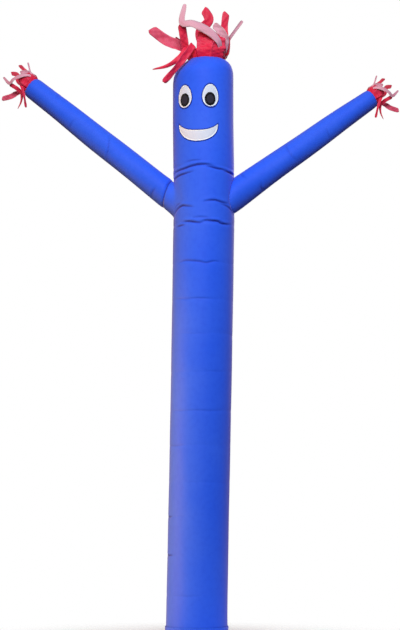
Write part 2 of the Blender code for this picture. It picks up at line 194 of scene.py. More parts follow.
for lamp in LAMPS:
    light = bpy.data.lights.new(lamp.name, "AREA")
    light.shape = "RECTANGLE"
    light.size, light.size_y = lamp.size
    light.energy = lamp.power
    light.color = lamp.colour
    light.spread = math.radians(lamp.spread)
    fitting = bpy.data.objects.new(lamp.name, light)
    fitting.location = lamp.place
    fitting.rotation_euler = pointing(lamp.place, lamp.aim)
    bpy.context.scene.collection.objects.link(fitting)

camera_right = Vector((math.cos(CAMERA_TURN), math.sin(CAMERA_TURN), 0.0))
camera_back = Vector((math.sin(CAMERA_TURN), -math.cos(CAMERA_TURN), 0.0))
camera_place = camera_back * CAMERA_AWAY + camera_right * CAMERA_ASIDE + Vector((0, 0, CAMERA_HEIGHT))
camera_look = Vector((0, 0, math.sin(CAMERA_TILT))) - camera_back * math.cos(CAMERA_TILT)
camera_data = bpy.data.cameras.new("camera")
camera_data.lens = CAMERA_LENS
camera = bpy.data.objects.new("camera", camera_data)
camera.location = camera_place
camera.rotation_euler = pointing(camera_place, camera_place + camera_look)
bpy.context.scene.collection.objects.link(camera)
bpy.context.scene.camera = camera
bpy.context.scene.view_settings.view_transform = "Standard"

# ---------------------------------------------------------------------------------------------------------
# Tube: one length of coated blue nylon makes the body, shoulders, head and crown. It was packed folded, so
# a faint ring of creases crosses it every hand and a half, and it buckles at the neck and under the arms.

CLOTH_THICKNESS = 0.0006
TUBE_RADIUS = 0.1525
TUBE_ROUND = 2 * math.pi * TUBE_RADIUS
TUBE_COLUMNS = 112
tube_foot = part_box("main_tube")[0].z
tube_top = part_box("main_tube")[1].z

# The tube doesn't stand quite upright: how far its middle is shifted to the right at some heights
Lean = namedtuple("Lean", "height shift")
LEAN = (
    Lean(0.00, 0.0000),
    Lean(0.80, 0.0155),
    Lean(1.60, 0.0290),
    Lean(2.10, 0.0385),
    Lean(2.40, 0.0380),
    Lean(2.60, 0.0350),
    Lean(3.20, 0.0350),
)

# The crown's height, radius and sideways shift, row by row, as the cloth is drawn in to the vent
Crown = namedtuple("Crown", "height radius shift")
CROWN = (
    Crown(2.760, 0.1525, 0.0000),
    Crown(2.810, 0.1525, 0.0005),
    Crown(2.842, 0.1500, 0.0030),
    Crown(2.866, 0.1425, 0.0085),
    Crown(2.888, 0.1290, 0.0150),
    Crown(2.906, 0.1140, 0.0185),
    Crown(2.919, 0.0980, 0.0185),
    Crown(tube_top, 0.0875, 0.0175),
)
CROWN_STEPS = 8
CROWN_GATHERS = 26
CROWN_GATHER_DEPTH = 0.0018
SLACK_OVAL = 0.0016
SLACK_UNEVEN = 0.0011
SLACK_FINE = 0.0005

# Rings left by packing. Degrees are turned from the middle of the face, towards +X. Each ring pinches in
# softly, most on its deepest side, and the fold itself shows as a fine line of its own depth
Ring = namedtuple("Ring", "height depth deepest tilt arch line waver")
RINGS = (
    Ring(0.236, 0.0020, -60, 0.002, 0.000, 0.0006, 0.3),
    Ring(0.429, 0.0030, -100, 0.003, 0.001, 0.0009, 1.1),
    Ring(0.617, 0.0030, -95, -0.002, 0.002, 0.0010, 2.0),
    Ring(0.787, 0.0020, 30, 0.002, 0.002, 0.0005, 2.7),
    Ring(0.968, 0.0025, -30, 0.004, 0.003, 0.0006, 3.6),
    Ring(1.139, 0.0030, 70, -0.003, 0.003, 0.0010, 4.4),
    Ring(1.331, 0.0025, -70, 0.003, 0.004, 0.0007, 5.2),
    Ring(1.519, 0.0030, 100, 0.002, 0.005, 0.0006, 0.9),
    Ring(1.692, 0.0025, 10, -0.003, 0.005, 0.0012, 1.7),
    Ring(1.877, 0.0030, -20, 0.002, 0.006, 0.0011, 2.5),
    Ring(2.074, 0.0050, -10, 0.004, 0.010, 0.0004, 3.3),
    Ring(2.362, 0.0070, 0, -0.006, 0.024, 0.0006, 4.1),
)
RING_FAINTNESS = 0.30
RING_EVENNESS = 0.55
RING_WIDTH = 0.010
RING_LINE_FAINTNESS = 0.35
RING_LINE_WIDTH = 0.0024
RING_LINE_LIP = 0.25
RING_WAVER = 0.0025

# Creases that run only part of the way round: how deep and how wide the trough is, how high the cloth
# stands over it, and the points (degrees from the middle of the face, height) that it runs through
Crease = namedtuple("Crease", "depth width lip route")
CREASES = (
    Crease(0.0085, 0.0042, 0.35, ((-64, 2.334), (-50, 2.340), (-29, 2.347), (-13, 2.356), (4, 2.362),
                                  (22, 2.361), (30, 2.356))),
    Crease(0.0070, 0.0040, 0.30, ((16, 2.356), (33, 2.346), (44, 2.342), (57, 2.340))),
    Crease(0.0075, 0.0042, 0.30, ((50, 2.339), (66, 2.333), (88, 2.328), (100, 2.331))),
    Crease(0.0060, 0.0038, 0.35, ((-70, 2.300), (-57, 2.308), (-42, 2.316), (-29, 2.320), (-10, 2.328))),
    Crease(0.0026, 0.0045, 0.30, ((-26, 2.378), (-8, 2.384), (8, 2.383))),
    Crease(0.0065, 0.0042, 0.35, ((-66, 2.122), (-58, 2.138), (-47, 2.1525), (-34, 2.1605), (-22, 2.156),
                                  (-8, 2.150))),
    Crease(0.0030, 0.0040, 0.30, ((-60, 2.150), (-50, 2.168), (-38, 2.176))),
    Crease(0.0058, 0.0042, 0.35, ((12, 2.176), (20, 2.180), (34, 2.183), (50, 2.175), (66, 2.172))),
    Crease(0.0045, 0.0040, 0.30, ((46, 2.166), (57, 2.162), (70, 2.152), (83, 2.134), (90, 2.118))),
    Crease(0.0048, 0.0038, 0.30, ((-50, 2.057), (-42, 2.0605), (-27, 2.062))),
    Crease(0.0072, 0.0040, 0.35, ((-31, 2.0785), (-20, 2.0785), (-8, 2.074), (4, 2.069), (10, 2.0705))),
    Crease(0.0070, 0.0040, 0.35, ((7, 2.073), (16, 2.080), (28, 2.0785), (40, 2.0775), (48, 2.069),
                                  (62, 2.067), (72, 2.069))),
    Crease(0.0022, 0.0048, 0.25, ((-10, 2.096), (6, 2.098), (24, 2.094))),
    Crease(0.0036, 0.0040, 0.25, ((-40, 1.874), (-26, 1.882), (-10, 1.880), (8, 1.874), (18, 1.869),
                                  (34, 1.878), (44, 1.876))),
    Crease(0.0015, 0.0042, 0.25, ((-46, 1.694), (-20, 1.691), (6, 1.693), (36, 1.690))),
    Crease(0.0006, 0.0042, 0.25, ((-30, 1.521), (-4, 1.518), (24, 1.520))),
    Crease(0.0007, 0.0045, 0.25, ((20, 1.333), (44, 1.330), (62, 1.334))),
    Crease(0.0009, 0.0040, 0.25, ((-50, 1.141), (-24, 1.137), (2, 1.140), (30, 1.137), (60, 1.141))),
    Crease(0.0012, 0.0042, 0.25, ((-66, 0.970), (-44, 0.966), (-18, 0.969))),
    Crease(0.0034, 0.0036, 0.30, ((-76, 0.622), (-64, 0.616), (-50, 0.619))),
    Crease(0.0026, 0.0034, 0.30, ((-70, 0.607), (-58, 0.604))),
    Crease(0.0036, 0.0036, 0.30, ((-78, 0.434), (-62, 0.428), (-44, 0.431))),
    Crease(0.0024, 0.0034, 0.30, ((-72, 0.419), (-60, 0.417))),
    Crease(0.0007, 0.0045, 0.25, ((-40, 0.238), (-12, 0.235), (20, 0.237))),
    Crease(0.0034, 0.0040, 0.30, ((150, 2.352), (172, 2.360), (196, 2.358), (214, 2.350))),
    Crease(0.0040, 0.0040, 0.30, ((128, 2.166), (146, 2.176), (160, 2.172))),
    Crease(0.0040, 0.0040, 0.30, ((206, 2.160), (222, 2.168), (238, 2.150))),
    Crease(0.0034, 0.0040, 0.25, ((140, 2.078), (166, 2.073), (190, 2.078), (214, 2.072))),
    Crease(0.0024, 0.0042, 0.25, ((150, 1.880), (176, 1.875), (204, 1.879))),
)
CREASE_STEPS = 10
CREASE_WIDTHS_FELT = 8
TROUGH_BELOW = 1.7
TROUGH_ABOVE = 0.75
LIP_UP = 2.3
LIP_WIDTH = 1.7
# Painted shade along each crease's bottom: width, drop below the trough, crease depth for full strength
FOLD_LINE_WIDTH = 0.0036
FOLD_LINE_DROP = 0.0010
FULL_FOLD_DEPTH = 0.0062

# Rows of points up the tube: fine where it creases, coarse between
Band = namedtuple("Band", "low high step")
FINE_BANDS = (
    Band(0.225, 0.247, 0.0030),
    Band(0.410, 0.443, 0.0026),
    Band(0.598, 0.630, 0.0026),
    Band(0.778, 0.796, 0.0030),
    Band(0.958, 0.979, 0.0030),
    Band(1.129, 1.150, 0.0026),
    Band(1.322, 1.343, 0.0030),
    Band(1.509, 1.530, 0.0030),
    Band(1.681, 1.702, 0.0026),
    Band(1.861, 1.891, 0.0026),
    Band(2.048, 2.108, 0.0024),
    Band(2.108, 2.190, 0.0030),
    Band(2.190, 2.294, 0.0080),
    Band(2.294, 2.392, 0.0025),
    Band(2.800, tube_top, 0.0040),
)
COARSE_STEP = 0.018


def smooth_through(points, steps):
    """Points on the smooth curve through some points: so many steps for each stretch between them."""
    points = np.asarray(points, float)
    before = np.vstack([[2 * points[0] - points[1]], points[:-2]])
    after = np.vstack([points[2:], [2 * points[-1] - points[-2]]])
    t = np.linspace(0, 1, steps, endpoint=False)[:, None]
    runs = []
    for p0, p1, p2, p3 in zip(before, points[:-1], points[1:], after):
        curve = 2 * p1 + (p2 - p0) * t + (2 * p0 - 5 * p1 + 4 * p2 - p3) * t ** 2
        runs.append((curve + (3 * p1 - p0 - 3 * p2 + p3) * t ** 3) / 2)
    return np.vstack([*runs, points[-1:]])


def lean_at(height):
    """The tube axis's sideways shift at a height."""
    return np.interp(height, [row.height for row in LEAN], [row.shift for row in LEAN])


def fall_off(distance, width, power=2):
    """1 at no distance, and next to nothing well beyond a width."""
    return np.exp(-np.abs(distance / width) ** power)


crown_profile = smooth_through(CROWN, CROWN_STEPS)


def tube_section(height):
    """The tube's radius and the sideways shift of its middle, at a height."""
    radius = np.interp(height, crown_profile[:, 0], crown_profile[:, 1])
    shift = np.interp(height, crown_profile[:, 0], crown_profile[:, 2])
    return radius, shift + lean_at(height)


def round_axis(turn, radius, shift, height):
    """Points at a radius round the tube's axis, turned in radians from the middle of the face."""
    return np.stack([shift + radius * np.sin(turn), -radius * np.cos(turn), height + 0 * turn], -1)


def tube_point(turn, height):
    """Points on the tube's smooth surface."""
    radius, shift = tube_section(height)
    drawn_in = np.clip((height - CROWN[3].height) / (tube_top - CROWN[3].height), 0, 1)
    gather = (1 + np.cos(CROWN_GATHERS * turn + np.sin(3 * turn))) / 2
    return round_axis(turn, radius - CROWN_GATHER_DEPTH * drawn_in * gather, shift, height)


def row_heights():
    """Heights of the tube's rows from foot to vent: fine in the bands and coarse between them."""
    heights = [tube_foot]
    for band in FINE_BANDS:
        count = max(1, round((band.low - heights[-1]) / COARSE_STEP))
        heights += list(np.linspace(heights[-1], band.low, count + 1)[1:])
        count = round((band.high - band.low) / band.step)
        heights += list(np.linspace(band.low, band.high, count + 1)[1:])
    return np.array(sorted(set(np.round(heights, 6))))


def trough(distance, width, lip):
    """A crease's section: a sharp trough, with the cloth bulging over it and eased out below it."""
    below = fall_off(distance, TROUGH_BELOW * width, 1.2)
    above = fall_off(distance, TROUGH_ABOVE * width)
    swell = fall_off(distance - LIP_UP * width, LIP_WIDTH * width)
    return np.where(distance < 0, below, above) - lip * swell


def nearest_on(line, spots):
    """How far spots are from a line of points, their side of it, how far along it, and its length."""
    steps = np.diff(line, axis=0)
    lengths = np.maximum(np.linalg.norm(steps, axis=1), 1e-9)
    offset = spots[:, None] - line[None, :-1]
    share = np.clip((offset * steps).sum(-1) / lengths ** 2, 0, 1)
    miss = offset - share[..., None] * steps
    distance = np.linalg.norm(miss, axis=-1)
    rows = np.arange(len(spots))
    nearest = distance.argmin(1)
    miss = miss[rows, nearest]
    side = np.sign(steps[nearest, 0] * miss[:, 1] - steps[nearest, 1] * miss[:, 0])
    runs = np.concatenate([[0], np.cumsum(lengths)])
    along = runs[nearest] + share[rows, nearest] * lengths[nearest]
    return distance[rows, nearest], side, along, runs[-1]


def crease_depth(across, along, wrap, creases):
    """How far creases press the cloth in at places on the flat cloth, which closes on itself at wrap, and
    the painted shade that each place gets near the bottom of a crease."""
    depth = np.zeros(len(across))
    fold = np.zeros(len(across))
    for crease in creases:
        route = [(math.radians(turn) * wrap / math.tau, up) for turn, up in crease.route]
        line = smooth_through(route, CREASE_STEPS)
        middle = line[len(line) // 2, 0]
        x = (across - middle + wrap / 2) % wrap - wrap / 2 + middle
        felt = CREASE_WIDTHS_FELT * crease.width
        near = abs(along - line[:, 1].mean()) < np.ptp(line[:, 1]) + felt
        near &= abs(x - middle) < np.ptp(line[:, 0]) + felt
        if not near.any():
            continue
        distance, side, run, length = nearest_on(line, np.stack([x[near], along[near]], -1))
        off = side * distance
        ease = np.sin(np.pi * np.clip(run / length, 0.02, 0.98)) ** 0.6
        depth[near] += crease.depth * ease * trough(off, crease.width, crease.lip)
        # Painted shade along the bottom of the crease, fuller for deeper creases
        bottom = fall_off(off + FOLD_LINE_DROP, FOLD_LINE_WIDTH) * ease
        fold[near] = np.maximum(fold[near], bottom * min(crease.depth / FULL_FOLD_DEPTH, 1.0))
    return depth, fold


def ring_depth(turn, height):
    """How far the packing rings press the tube in."""
    depth = np.zeros(len(turn))
    for ring in RINGS:
        share = RING_EVENNESS + (1 - RING_EVENNESS) * np.cos(turn - math.radians(ring.deepest))
        front = (1 + np.cos(turn)) / 2
        line = ring.height + ring.tilt * np.sin(turn) / 2 - ring.arch * (1 - front)
        line = line + RING_WAVER * (np.sin(2 * turn + ring.waver) + 0.6 * np.sin(5 * turn + 2 * ring.waver))
        off = height - line
        depth += RING_FAINTNESS * ring.depth * np.clip(share, 0, 1) * fall_off(off, RING_WIDTH)
        patchy = np.clip(0.35 + 0.65 * np.sin(2 * turn + 5 * ring.waver), 0, 1)
        depth += RING_LINE_FAINTNESS * ring.line * patchy * trough(off, RING_LINE_WIDTH, RING_LINE_LIP)
    return depth


def slack(turn, height):
    """The tube is not a true cylinder: the air holds it out unevenly by a few millimetres."""
    oval = SLACK_OVAL * np.sin(2 * turn + 1.9 * height)
    uneven = SLACK_UNEVEN * np.sin(3 * turn - 3.1 * height + 1.0)
    fine = SLACK_FINE * np.sin(7 * turn + 9.0 * height) * np.sin(5.3 * height + 2 * turn)
    return oval + uneven + fine


# Each sleeve: the middle of its root and of its hand, and how wide it is at its root, wrist and end. The
# left one's seam lies in a plane of its own, out from the tube; the right one's lies on the tube
Sleeve = namedtuple("Sleeve", "side root hand root_radius wrist_radius end_radius")
SLEEVES = (
    Sleeve("left", (-0.1174, -0.013, 2.2165), (-0.8627, -0.052, 2.8215), 0.0705, 0.056, 0.050),
    Sleeve("right", (0.1847, 0.026, 2.2260), (0.8619, 0.273, 2.7502), 0.0750, 0.050, 0.045),
)
SLEEVE_RIM = 0.022
SOCKET_POINT = Vector((-0.1424, 0.0, 2.2368))
SOCKET_NORMAL = Vector((-0.94, 0.0, 0.342)).normalized()
SOCKET_ROWS = 9
SOCKET_SMOOTHINGS = 40
SEAM_PINCH = 0.0042
SEAM_REACH = 0.010
ARMHOLE_DEEPEST = -0.09
ARMHOLE_FURTHEST = 0.12
ARMHOLE_TALL = 0.2
ARMHOLE_HALVINGS = 30
ARMHOLE_EVENINGS = 60
ARMHOLE_RINGS = 4
ARMHOLE_SMOOTHINGS = 12


def sleeve_axis(sleeve):
    """The sleeve's root, unit direction, length to the wrist and taper."""
    root = Vector(sleeve.root)
    hand = Vector(sleeve.hand)
    wrist = (hand - root).length - SLEEVE_RIM
    return root, (hand - root).normalized(), wrist, (sleeve.wrist_radius - sleeve.root_radius) / wrist


def sleeve_frame(sleeve):
    """The sleeve's forward and upward directions, square to its axis."""
    axis = sleeve_axis(sleeve)[1]
    forward = Vector((0, -1, 0)) - axis * Vector((0, -1, 0)).dot(axis)
    forward.normalize()
    upward = axis.cross(forward)
    return (forward, upward, 1) if upward.z > 0 else (forward, -upward, -1)


def sleeve_reach(sleeve, point):
    """How far out from the sleeve's axis a point is: 1 on its surface."""
    root, axis, _, taper = sleeve_axis(sleeve)
    along = (point - root).dot(axis)
    return (point - root - axis * along).length / (sleeve.root_radius + taper * along)


def meet_tube(sleeve, spoke):
    """How far along a sleeve's axis its side, where a spoke points, comes out of the tube."""
    root, axis, _, taper = sleeve_axis(sleeve)
    low, high = ARMHOLE_DEEPEST, ARMHOLE_FURTHEST
    for _ in range(ARMHOLE_HALVINGS):
        along = (low + high) / 2
        spot = root + axis * along + spoke * (sleeve.root_radius + taper * along)
        radius, shift = tube_section(spot.z)
        if math.hypot(spot.x - float(shift), spot.y) < float(radius):
            low = along
        else:
            high = along
    return high


def in_order(edge):
    """The points on a hole's edge, one after the other."""
    loop = [edge[0]]
    while len(loop) < len(edge):
        beside = [e.other_vert(loop[-1]) for e in loop[-1].link_edges if e.is_boundary]
        loop.append(next(v for v in beside if v not in loop))
    return loop


def grown(near, times):
    """Some of the mesh's points, and those so many steps away from them."""
    for _ in range(times):
        near |= {e.other_vert(v) for v in near for e in v.link_edges}
    return near


def smooth_points(bm, points):
    """Draws points of the mesh half way to the middle of those beside them."""
    bmesh.ops.smooth_vert(bm, verts=points, factor=0.5, use_axis_x=True, use_axis_y=True, use_axis_z=True)


def cut_armhole(bm, sleeve):
    """Opens the armhole in the tube's mesh, and returns the points on its edge."""
    root, axis, _, taper = sleeve_axis(sleeve)
    close = [v for v in bm.verts if abs(v.co.z - root.z) < ARMHOLE_TALL]
    inside = {
        v for v in close
        if (v.co - root).dot(axis) > ARMHOLE_DEEPEST and sleeve_reach(sleeve, v.co) < 1
    }
    hole = [face for face in bm.faces if all(v in inside for v in face.verts)]
    bmesh.ops.delete(bm, geom=hole, context="FACES")
    edge = in_order([v for v in bm.verts if v in inside and v.link_faces])
    forward, upward, _ = sleeve_frame(sleeve)
    spokes = [v.co - root for v in edge]
    angles = np.unwrap([math.atan2(spoke.dot(upward), spoke.dot(forward)) for spoke in spokes])
    turn = math.copysign(math.tau, angles[-1] - angles[0])
    for _ in range(ARMHOLE_EVENINGS):
        around = np.concatenate([[angles[-1] - turn], angles, [angles[0] + turn]])
        angles = (around[:-2] + around[2:]) / 2
    for v, angle in zip(edge, angles):
        spoke = forward * math.cos(angle) + upward * math.sin(angle)
        along = meet_tube(sleeve, spoke)
        v.co = root + axis * along + spoke * (sleeve.root_radius + taper * along)
    around = [v for v in grown(set(edge), ARMHOLE_RINGS) if v not in edge]
    for _ in range(ARMHOLE_SMOOTHINGS):
        smooth_points(bm, around)
        for v in around:
            radius, shift = tube_section(v.co.z)
            out = Vector((v.co.x - float(shift), v.co.y))
            out *= float(radius) / out.length
            v.co = Vector((out.x + float(shift), out.y, v.co.z))
    return edge


def pull_socket(bm, sleeve, edge):
    """Runs the left armhole's cloth out along the sleeve to the seam, which lies in a plane of its own."""
    root, axis, _, taper = sleeve_axis(sleeve)
    starts = [v.co.copy() for v in edge]
    beside = bm.edges.get((edge[0], edge[1])).link_loops[0]
    way_round = 1 if beside.vert == edge[1] else -1
    rim = edge
    for row in range(1, SOCKET_ROWS + 1):
        share = row / SOCKET_ROWS
        added = []
        for start in starts:
            along = (start - root).dot(axis)
            spoke = start - root - axis * along
            way = axis + spoke.normalized() * taper
            reach = (SOCKET_POINT - start).dot(SOCKET_NORMAL) / way.dot(SOCKET_NORMAL)
            left_over = max(reach * (1 - share), 0.0)
            pinch = SEAM_PINCH * math.exp(-(left_over / SEAM_REACH) ** 2)
            added.append(bm.verts.new(start + way * reach * share - spoke.normalized() * pinch))
        for k in range(len(edge)):
            bm.faces.new((rim[k - 1], rim[k], added[k], added[k - 1])[::way_round])
        rim = added
    near = list(grown(set(edge), SOCKET_ROWS - 2))
    for _ in range(SOCKET_SMOOTHINGS):
        smooth_points(bm, near)


def lay_flat(mesh, layer, places, wrap):
    """Keeps each point's place on flat cloth, which closes on itself at wrap if it is given."""
    corners = np.empty(len(mesh.loops), np.int32)
    mesh.loops.foreach_get("vertex_index", corners)
    places = np.asarray(places, float)[corners]
    if wrap:
        starts = np.empty(len(mesh.polygons), np.int32)
        mesh.polygons.foreach_get("loop_start", starts)
        first = np.repeat(places[starts, 0], np.diff(np.append(starts, len(corners))))
        places[:, 0] -= wrap * np.round((places[:, 0] - first) / wrap)
    mesh.uv_layers.new(name=layer).data.foreach_set("uv", places.astype(np.float32).ravel())


def make_cloth(name, points, faces, flat, material, thickness=CLOTH_THICKNESS, wrap=None, marks=None):
    """A sheet of cloth as a closed shell of slight thickness. Each point's place on the flat cloth is kept
    for the weave, and marks are other measures, such as how much painted shade a point gets."""
    mesh = bpy.data.meshes.new(name)
    mesh.from_pydata(np.asarray(points).tolist(), [], faces)
    lay_flat(mesh, "cloth", flat, wrap)
    for mark, values in (marks or {}).items():
        mesh.attributes.new(mark, "FLOAT", "POINT").data.foreach_set("value", np.asarray(values, np.float32))
    mesh.shade_smooth()
    mesh.materials.append(material)
    piece = bpy.data.objects.new(name, mesh)
    bpy.context.scene.collection.objects.link(piece)
    shell = piece.modifiers.new("thickness", "SOLIDIFY")
    shell.thickness = thickness
    shell.offset = -1
    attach(piece, "root")
    return piece


def grid_faces(rows, columns, closed, flip=False):
    """Faces of a grid of points in rows, closed round or not."""
    faces = []
    for r in range(rows - 1):
        for c in range(columns if closed else columns - 1):
            d = (c + 1) % columns
            face = (r * columns + c, r * columns + d, (r + 1) * columns + d, (r + 1) * columns + c)
            faces.append(face[::-1] if flip else face)
    return faces


# Blue nylon: ripstop weave with a thin coating and a soft sheen, a little faded in patches, with painted
# shade in the bottoms of its folds and along the armhole seams. Lengths are in metres, and a relief is
# the height of the weave's bumps.

BLUE = (0.016, 0.098, 0.790)
BLUE_FADED = (0.034, 0.126, 0.770)
BLUE_DEEP = (0.010, 0.068, 0.680)
# The painted shade colour for the bottoms of the creases and the armhole seams
BLUE_PAINTED_FOLD_SHADE = (0.004, 0.012, 0.230)
BLUE_GLINT = (1.0, 0.70, 0.40)
RIPSTOP_PITCH = 0.0058
RIPSTOP_LINE = 0.0007
SEAM_STITCH = 0.0034
SEAM_THREAD = 0.0010
BLUE_RELIEF = 0.00006
SHEEN_ROUGHNESS = 0.45


def start_cloth(name, roughness, sheen, sheen_tint, specular):
    """A new cloth material: its finish, and where on the flat cloth each spot lies."""
    material = bpy.data.materials.new(name)
    material.use_nodes = True
    finish = Finish(material.node_tree)
    finish.material = material
    finish.shader = material.node_tree.nodes["Principled BSDF"]
    for socket, value in (
        ("Roughness", roughness), ("Sheen Weight", sheen), ("Sheen Roughness", SHEEN_ROUGHNESS),
        ("Sheen Tint", sheen_tint), ("Specular IOR Level", specular),
    ):
        finish.feed(finish.shader.inputs[socket], value)
    finish.place = finish.node("ShaderNodeUVMap", {"uv_map": "cloth"})
    finish.across = finish.part(finish.place, "X")
    finish.along = finish.part(finish.place, "Y")
    return finish


def cloudy(finish, scale):
    """Soft patches over the cloth, so many to the metre."""
    return finish.node(
        "ShaderNodeTexNoise", {"noise_dimensions": "3D"},
        {"Vector": finish.place, "Scale": scale, "Detail": 2.0, "Roughness": 0.5},
    )


def threads(finish, coordinate, pitch, width):
    """Raised lines across a coordinate: 1 on a line, 0 between lines."""
    swing = finish.node("ShaderNodeMath", {"operation": "PINGPONG"}, {0: coordinate + 10.0, 1: pitch / 2})
    return finish.ease(swing, 0.0, width, 1.0, 0.0)


def weave(finish, pitch, width):
    """Threads both ways of the cloth."""
    return threads(finish, finish.across, pitch, width) + threads(finish, finish.along, pitch, width)


def bump(finish, height, distance):
    """Presses a height pattern into the cloth's surface."""
    normal = finish.node("ShaderNodeBump", None, {"Height": height, "Distance": distance, "Strength": 1.0})
    finish.feed(finish.shader.inputs["Normal"], normal)


blue = start_cloth("blue_nylon", roughness=0.60, sheen=0.22, sheen_tint=(1.0, 0.56, 0.42), specular=0.15)
blue.feed(blue.shader.inputs["Specular Tint"], BLUE_GLINT)
grid = weave(blue, RIPSTOP_PITCH, RIPSTOP_LINE)
patches = cloudy(blue, 3.0)
mottle = cloudy(blue, 40.0)
faded = blue.mix((patches - 0.35) * 1.6, BLUE, BLUE_FADED)
deep = blue.mix((mottle - 0.45) * 0.9, faded, BLUE_DEEP)
# Painted shade: the colour goes towards the dark blue where the cloth's points are marked as shaded
blue.feed(blue.shader.inputs["Base Color"], blue.mix(blue.mark("fold"), deep, BLUE_PAINTED_FOLD_SHADE))
blue.feed(blue.shader.inputs["Roughness"], 0.56 + patches * 0.08 + grid * 0.03)
stitches = threads(blue, blue.across + blue.along, SEAM_STITCH, SEAM_THREAD) * blue.mark("seam")
bump(blue, grid * 0.4 + cloudy(blue, 900.0) * 0.3 + stitches * 4.0, BLUE_RELIEF)


# The rings and the unevenness fade out towards the foot, the crown and the armholes
FOOT_CALM = 0.06
CROWN_CALM = 0.05
CROWN_CALM_FROM = 2.80
ARMHOLE_CALM = 0.05
ARMHOLE_CALM_FROM = 0.075
BACK_SEAM_WIDTH = 0.009
BACK_SEAM_RIDGE = 0.0014


def press_in(turn, height):
    """How far creases, and then rings and unevenness, press the tube in, and its painted shade in creases."""
    keep = np.clip(1 - (height - CROWN_CALM_FROM) / CROWN_CALM, 0, 1)
    keep = keep * np.clip((height - tube_foot) / FOOT_CALM, 0, 1)
    creases, fold = crease_depth(turn * TUBE_RADIUS, height, TUBE_ROUND, CREASES)
    return creases, (ring_depth(turn, height) - slack(turn, height)) * keep, fold


def back_seam(turn, radius):
    """How near the seam down the back is: 1 on it."""
    return fall_off((np.pi - np.abs(turn)) * radius, BACK_SEAM_WIDTH, 4)


def make_tube():
    """The tube's mesh: rows of the smooth tube, armholes opened, then every crease pressed in."""
    heights = row_heights()
    turns = np.linspace(0, math.tau, TUBE_COLUMNS, endpoint=False) - math.pi
    turn, height = np.meshgrid(turns, heights)
    points = tube_point(turn.ravel(), height.ravel())
    faces = grid_faces(len(heights), TUBE_COLUMNS, True)
    bm = bmesh.new()
    verts = [bm.verts.new(p) for p in points]
    for face in faces:
        bm.faces.new([verts[k] for k in face])
    left, right = SLEEVES
    pull_socket(bm, left, cut_armhole(bm, left))
    cut_armhole(bm, right)
    loose = [v for v in bm.verts if not v.link_faces]
    bmesh.ops.delete(bm, geom=loose, context="VERTS")
    bm.verts.index_update()
    bm.normal_update()
    points = np.array([v.co for v in bm.verts])
    normals = np.array([v.normal for v in bm.verts])
    faces = [[v.index for v in face.verts] for face in bm.faces]
    bm.free()
    radius, shift = tube_section(points[:, 2])
    away = np.hypot(points[:, 0] - shift, points[:, 1])
    turn = np.arctan2(points[:, 0] - shift, -points[:, 1])
    creases, rings, fold = press_in(turn, points[:, 2])
    for sleeve in SLEEVES:
        off = np.linalg.norm(points - np.array(sleeve.root), axis=1)
        rings = rings * np.clip((off - ARMHOLE_CALM_FROM) / ARMHOLE_CALM, 0, 1)
    points = points - normals * (creases + rings)[:, None]
    flat = np.stack([turn * TUBE_RADIUS + np.sign(turn) * (away - radius).clip(0), points[:, 2]], -1)
    seam = back_seam(turn, TUBE_RADIUS)
    points = points + round_axis(turn, BACK_SEAM_RIDGE * seam, 0, 0)
    marks = {"fold": fold, "seam": seam}
    return make_cloth("tube", points, faces, flat, blue.material, wrap=TUBE_ROUND, marks=marks)


tube = make_tube()
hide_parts("main_tube")

# ---------------------------------------------------------------------------------------------------------
# Sleeves: each a tapered tube of the same blue nylon, sewn into its armhole with a felled seam that puckers
# the cloth, closed by a seam along its back, and hemmed at the hand.

SLEEVE_COLUMNS = 80
SLEEVE_STEP = 0.007
SLEEVE_SEAM_STEP = 0.0022
SLEEVE_SEAM_REACH = 0.030
SLEEVE_TUCK = 0.008
SLEEVE_INSIDE = 0.2
HEM_DEPTH = 0.016
HEM_RAISE = 0.0009
PUCKERS = 27
PUCKER_DEPTH = 0.0013
PUCKER_REACH = 0.014
SLEEVE_CALM = 0.05
SLEEVE_OVAL = 0.0011
SLEEVE_UNEVEN = 0.0008
SLEEVE_PINCH = {"left": 0.0042, "right": 0.0010}
# How strong the painted shade along each armhole's seam is
SEAM_SHADE = {"left": 1.0, "right": 0.10}
SEAM_SHADE_REACH = 0.0045
FELL_STITCH = 0.007
FELL_STITCH_WIDTH = 0.0035
HEM_STITCH = 0.014
HEM_STITCH_WIDTH = 0.0025
HEM_EDGE = 0.0015
HAND_GATHERS = 15
HAND_GATHER_DEPTH = 0.0012
HAND_GATHER_REACH = 0.012
# Turns are from the side that faces forwards, towards the top; the second number is metres along the sleeve
SLEEVE_CREASES = {
    "left": (
        Crease(0.0026, 0.0050, 0.25, ((-55, 0.395), (-20, 0.405), (15, 0.428), (50, 0.455))),
        Crease(0.0016, 0.0050, 0.25, ((-62, 0.640), (-30, 0.652), (10, 0.650))),
        Crease(0.0034, 0.0045, 0.30, ((-70, 0.085), (-40, 0.094), (-12, 0.092))),
        Crease(0.0028, 0.0045, 0.30, ((20, 0.052), (48, 0.056), (80, 0.050))),
        Crease(0.0016, 0.0055, 0.25, ((30, 0.800), (60, 0.806), (95, 0.800))),
    ),
    "right": (
        Crease(0.0034, 0.0045, 0.30, ((-82, 0.140), (-58, 0.132), (-34, 0.140))),
        Crease(0.0022, 0.0050, 0.25, ((-50, 0.365), (-20, 0.352), (20, 0.356), (52, 0.372))),
        Crease(0.0016, 0.0050, 0.25, ((-70, 0.585), (-38, 0.578), (-6, 0.584))),
        Crease(0.0026, 0.0045, 0.30, ((10, 0.095), (36, 0.088), (66, 0.094))),
    ),
}


def sleeve_start(sleeve, spoke):
    """How far along its axis the sleeve's seam is, on the side that a spoke points to."""
    root, axis, _, taper = sleeve_axis(sleeve)
    if sleeve.side == "right":
        return meet_tube(sleeve, spoke)
    way = axis + spoke * taper
    start = root + spoke * sleeve.root_radius
    return (SOCKET_POINT - start).dot(SOCKET_NORMAL) / way.dot(SOCKET_NORMAL)


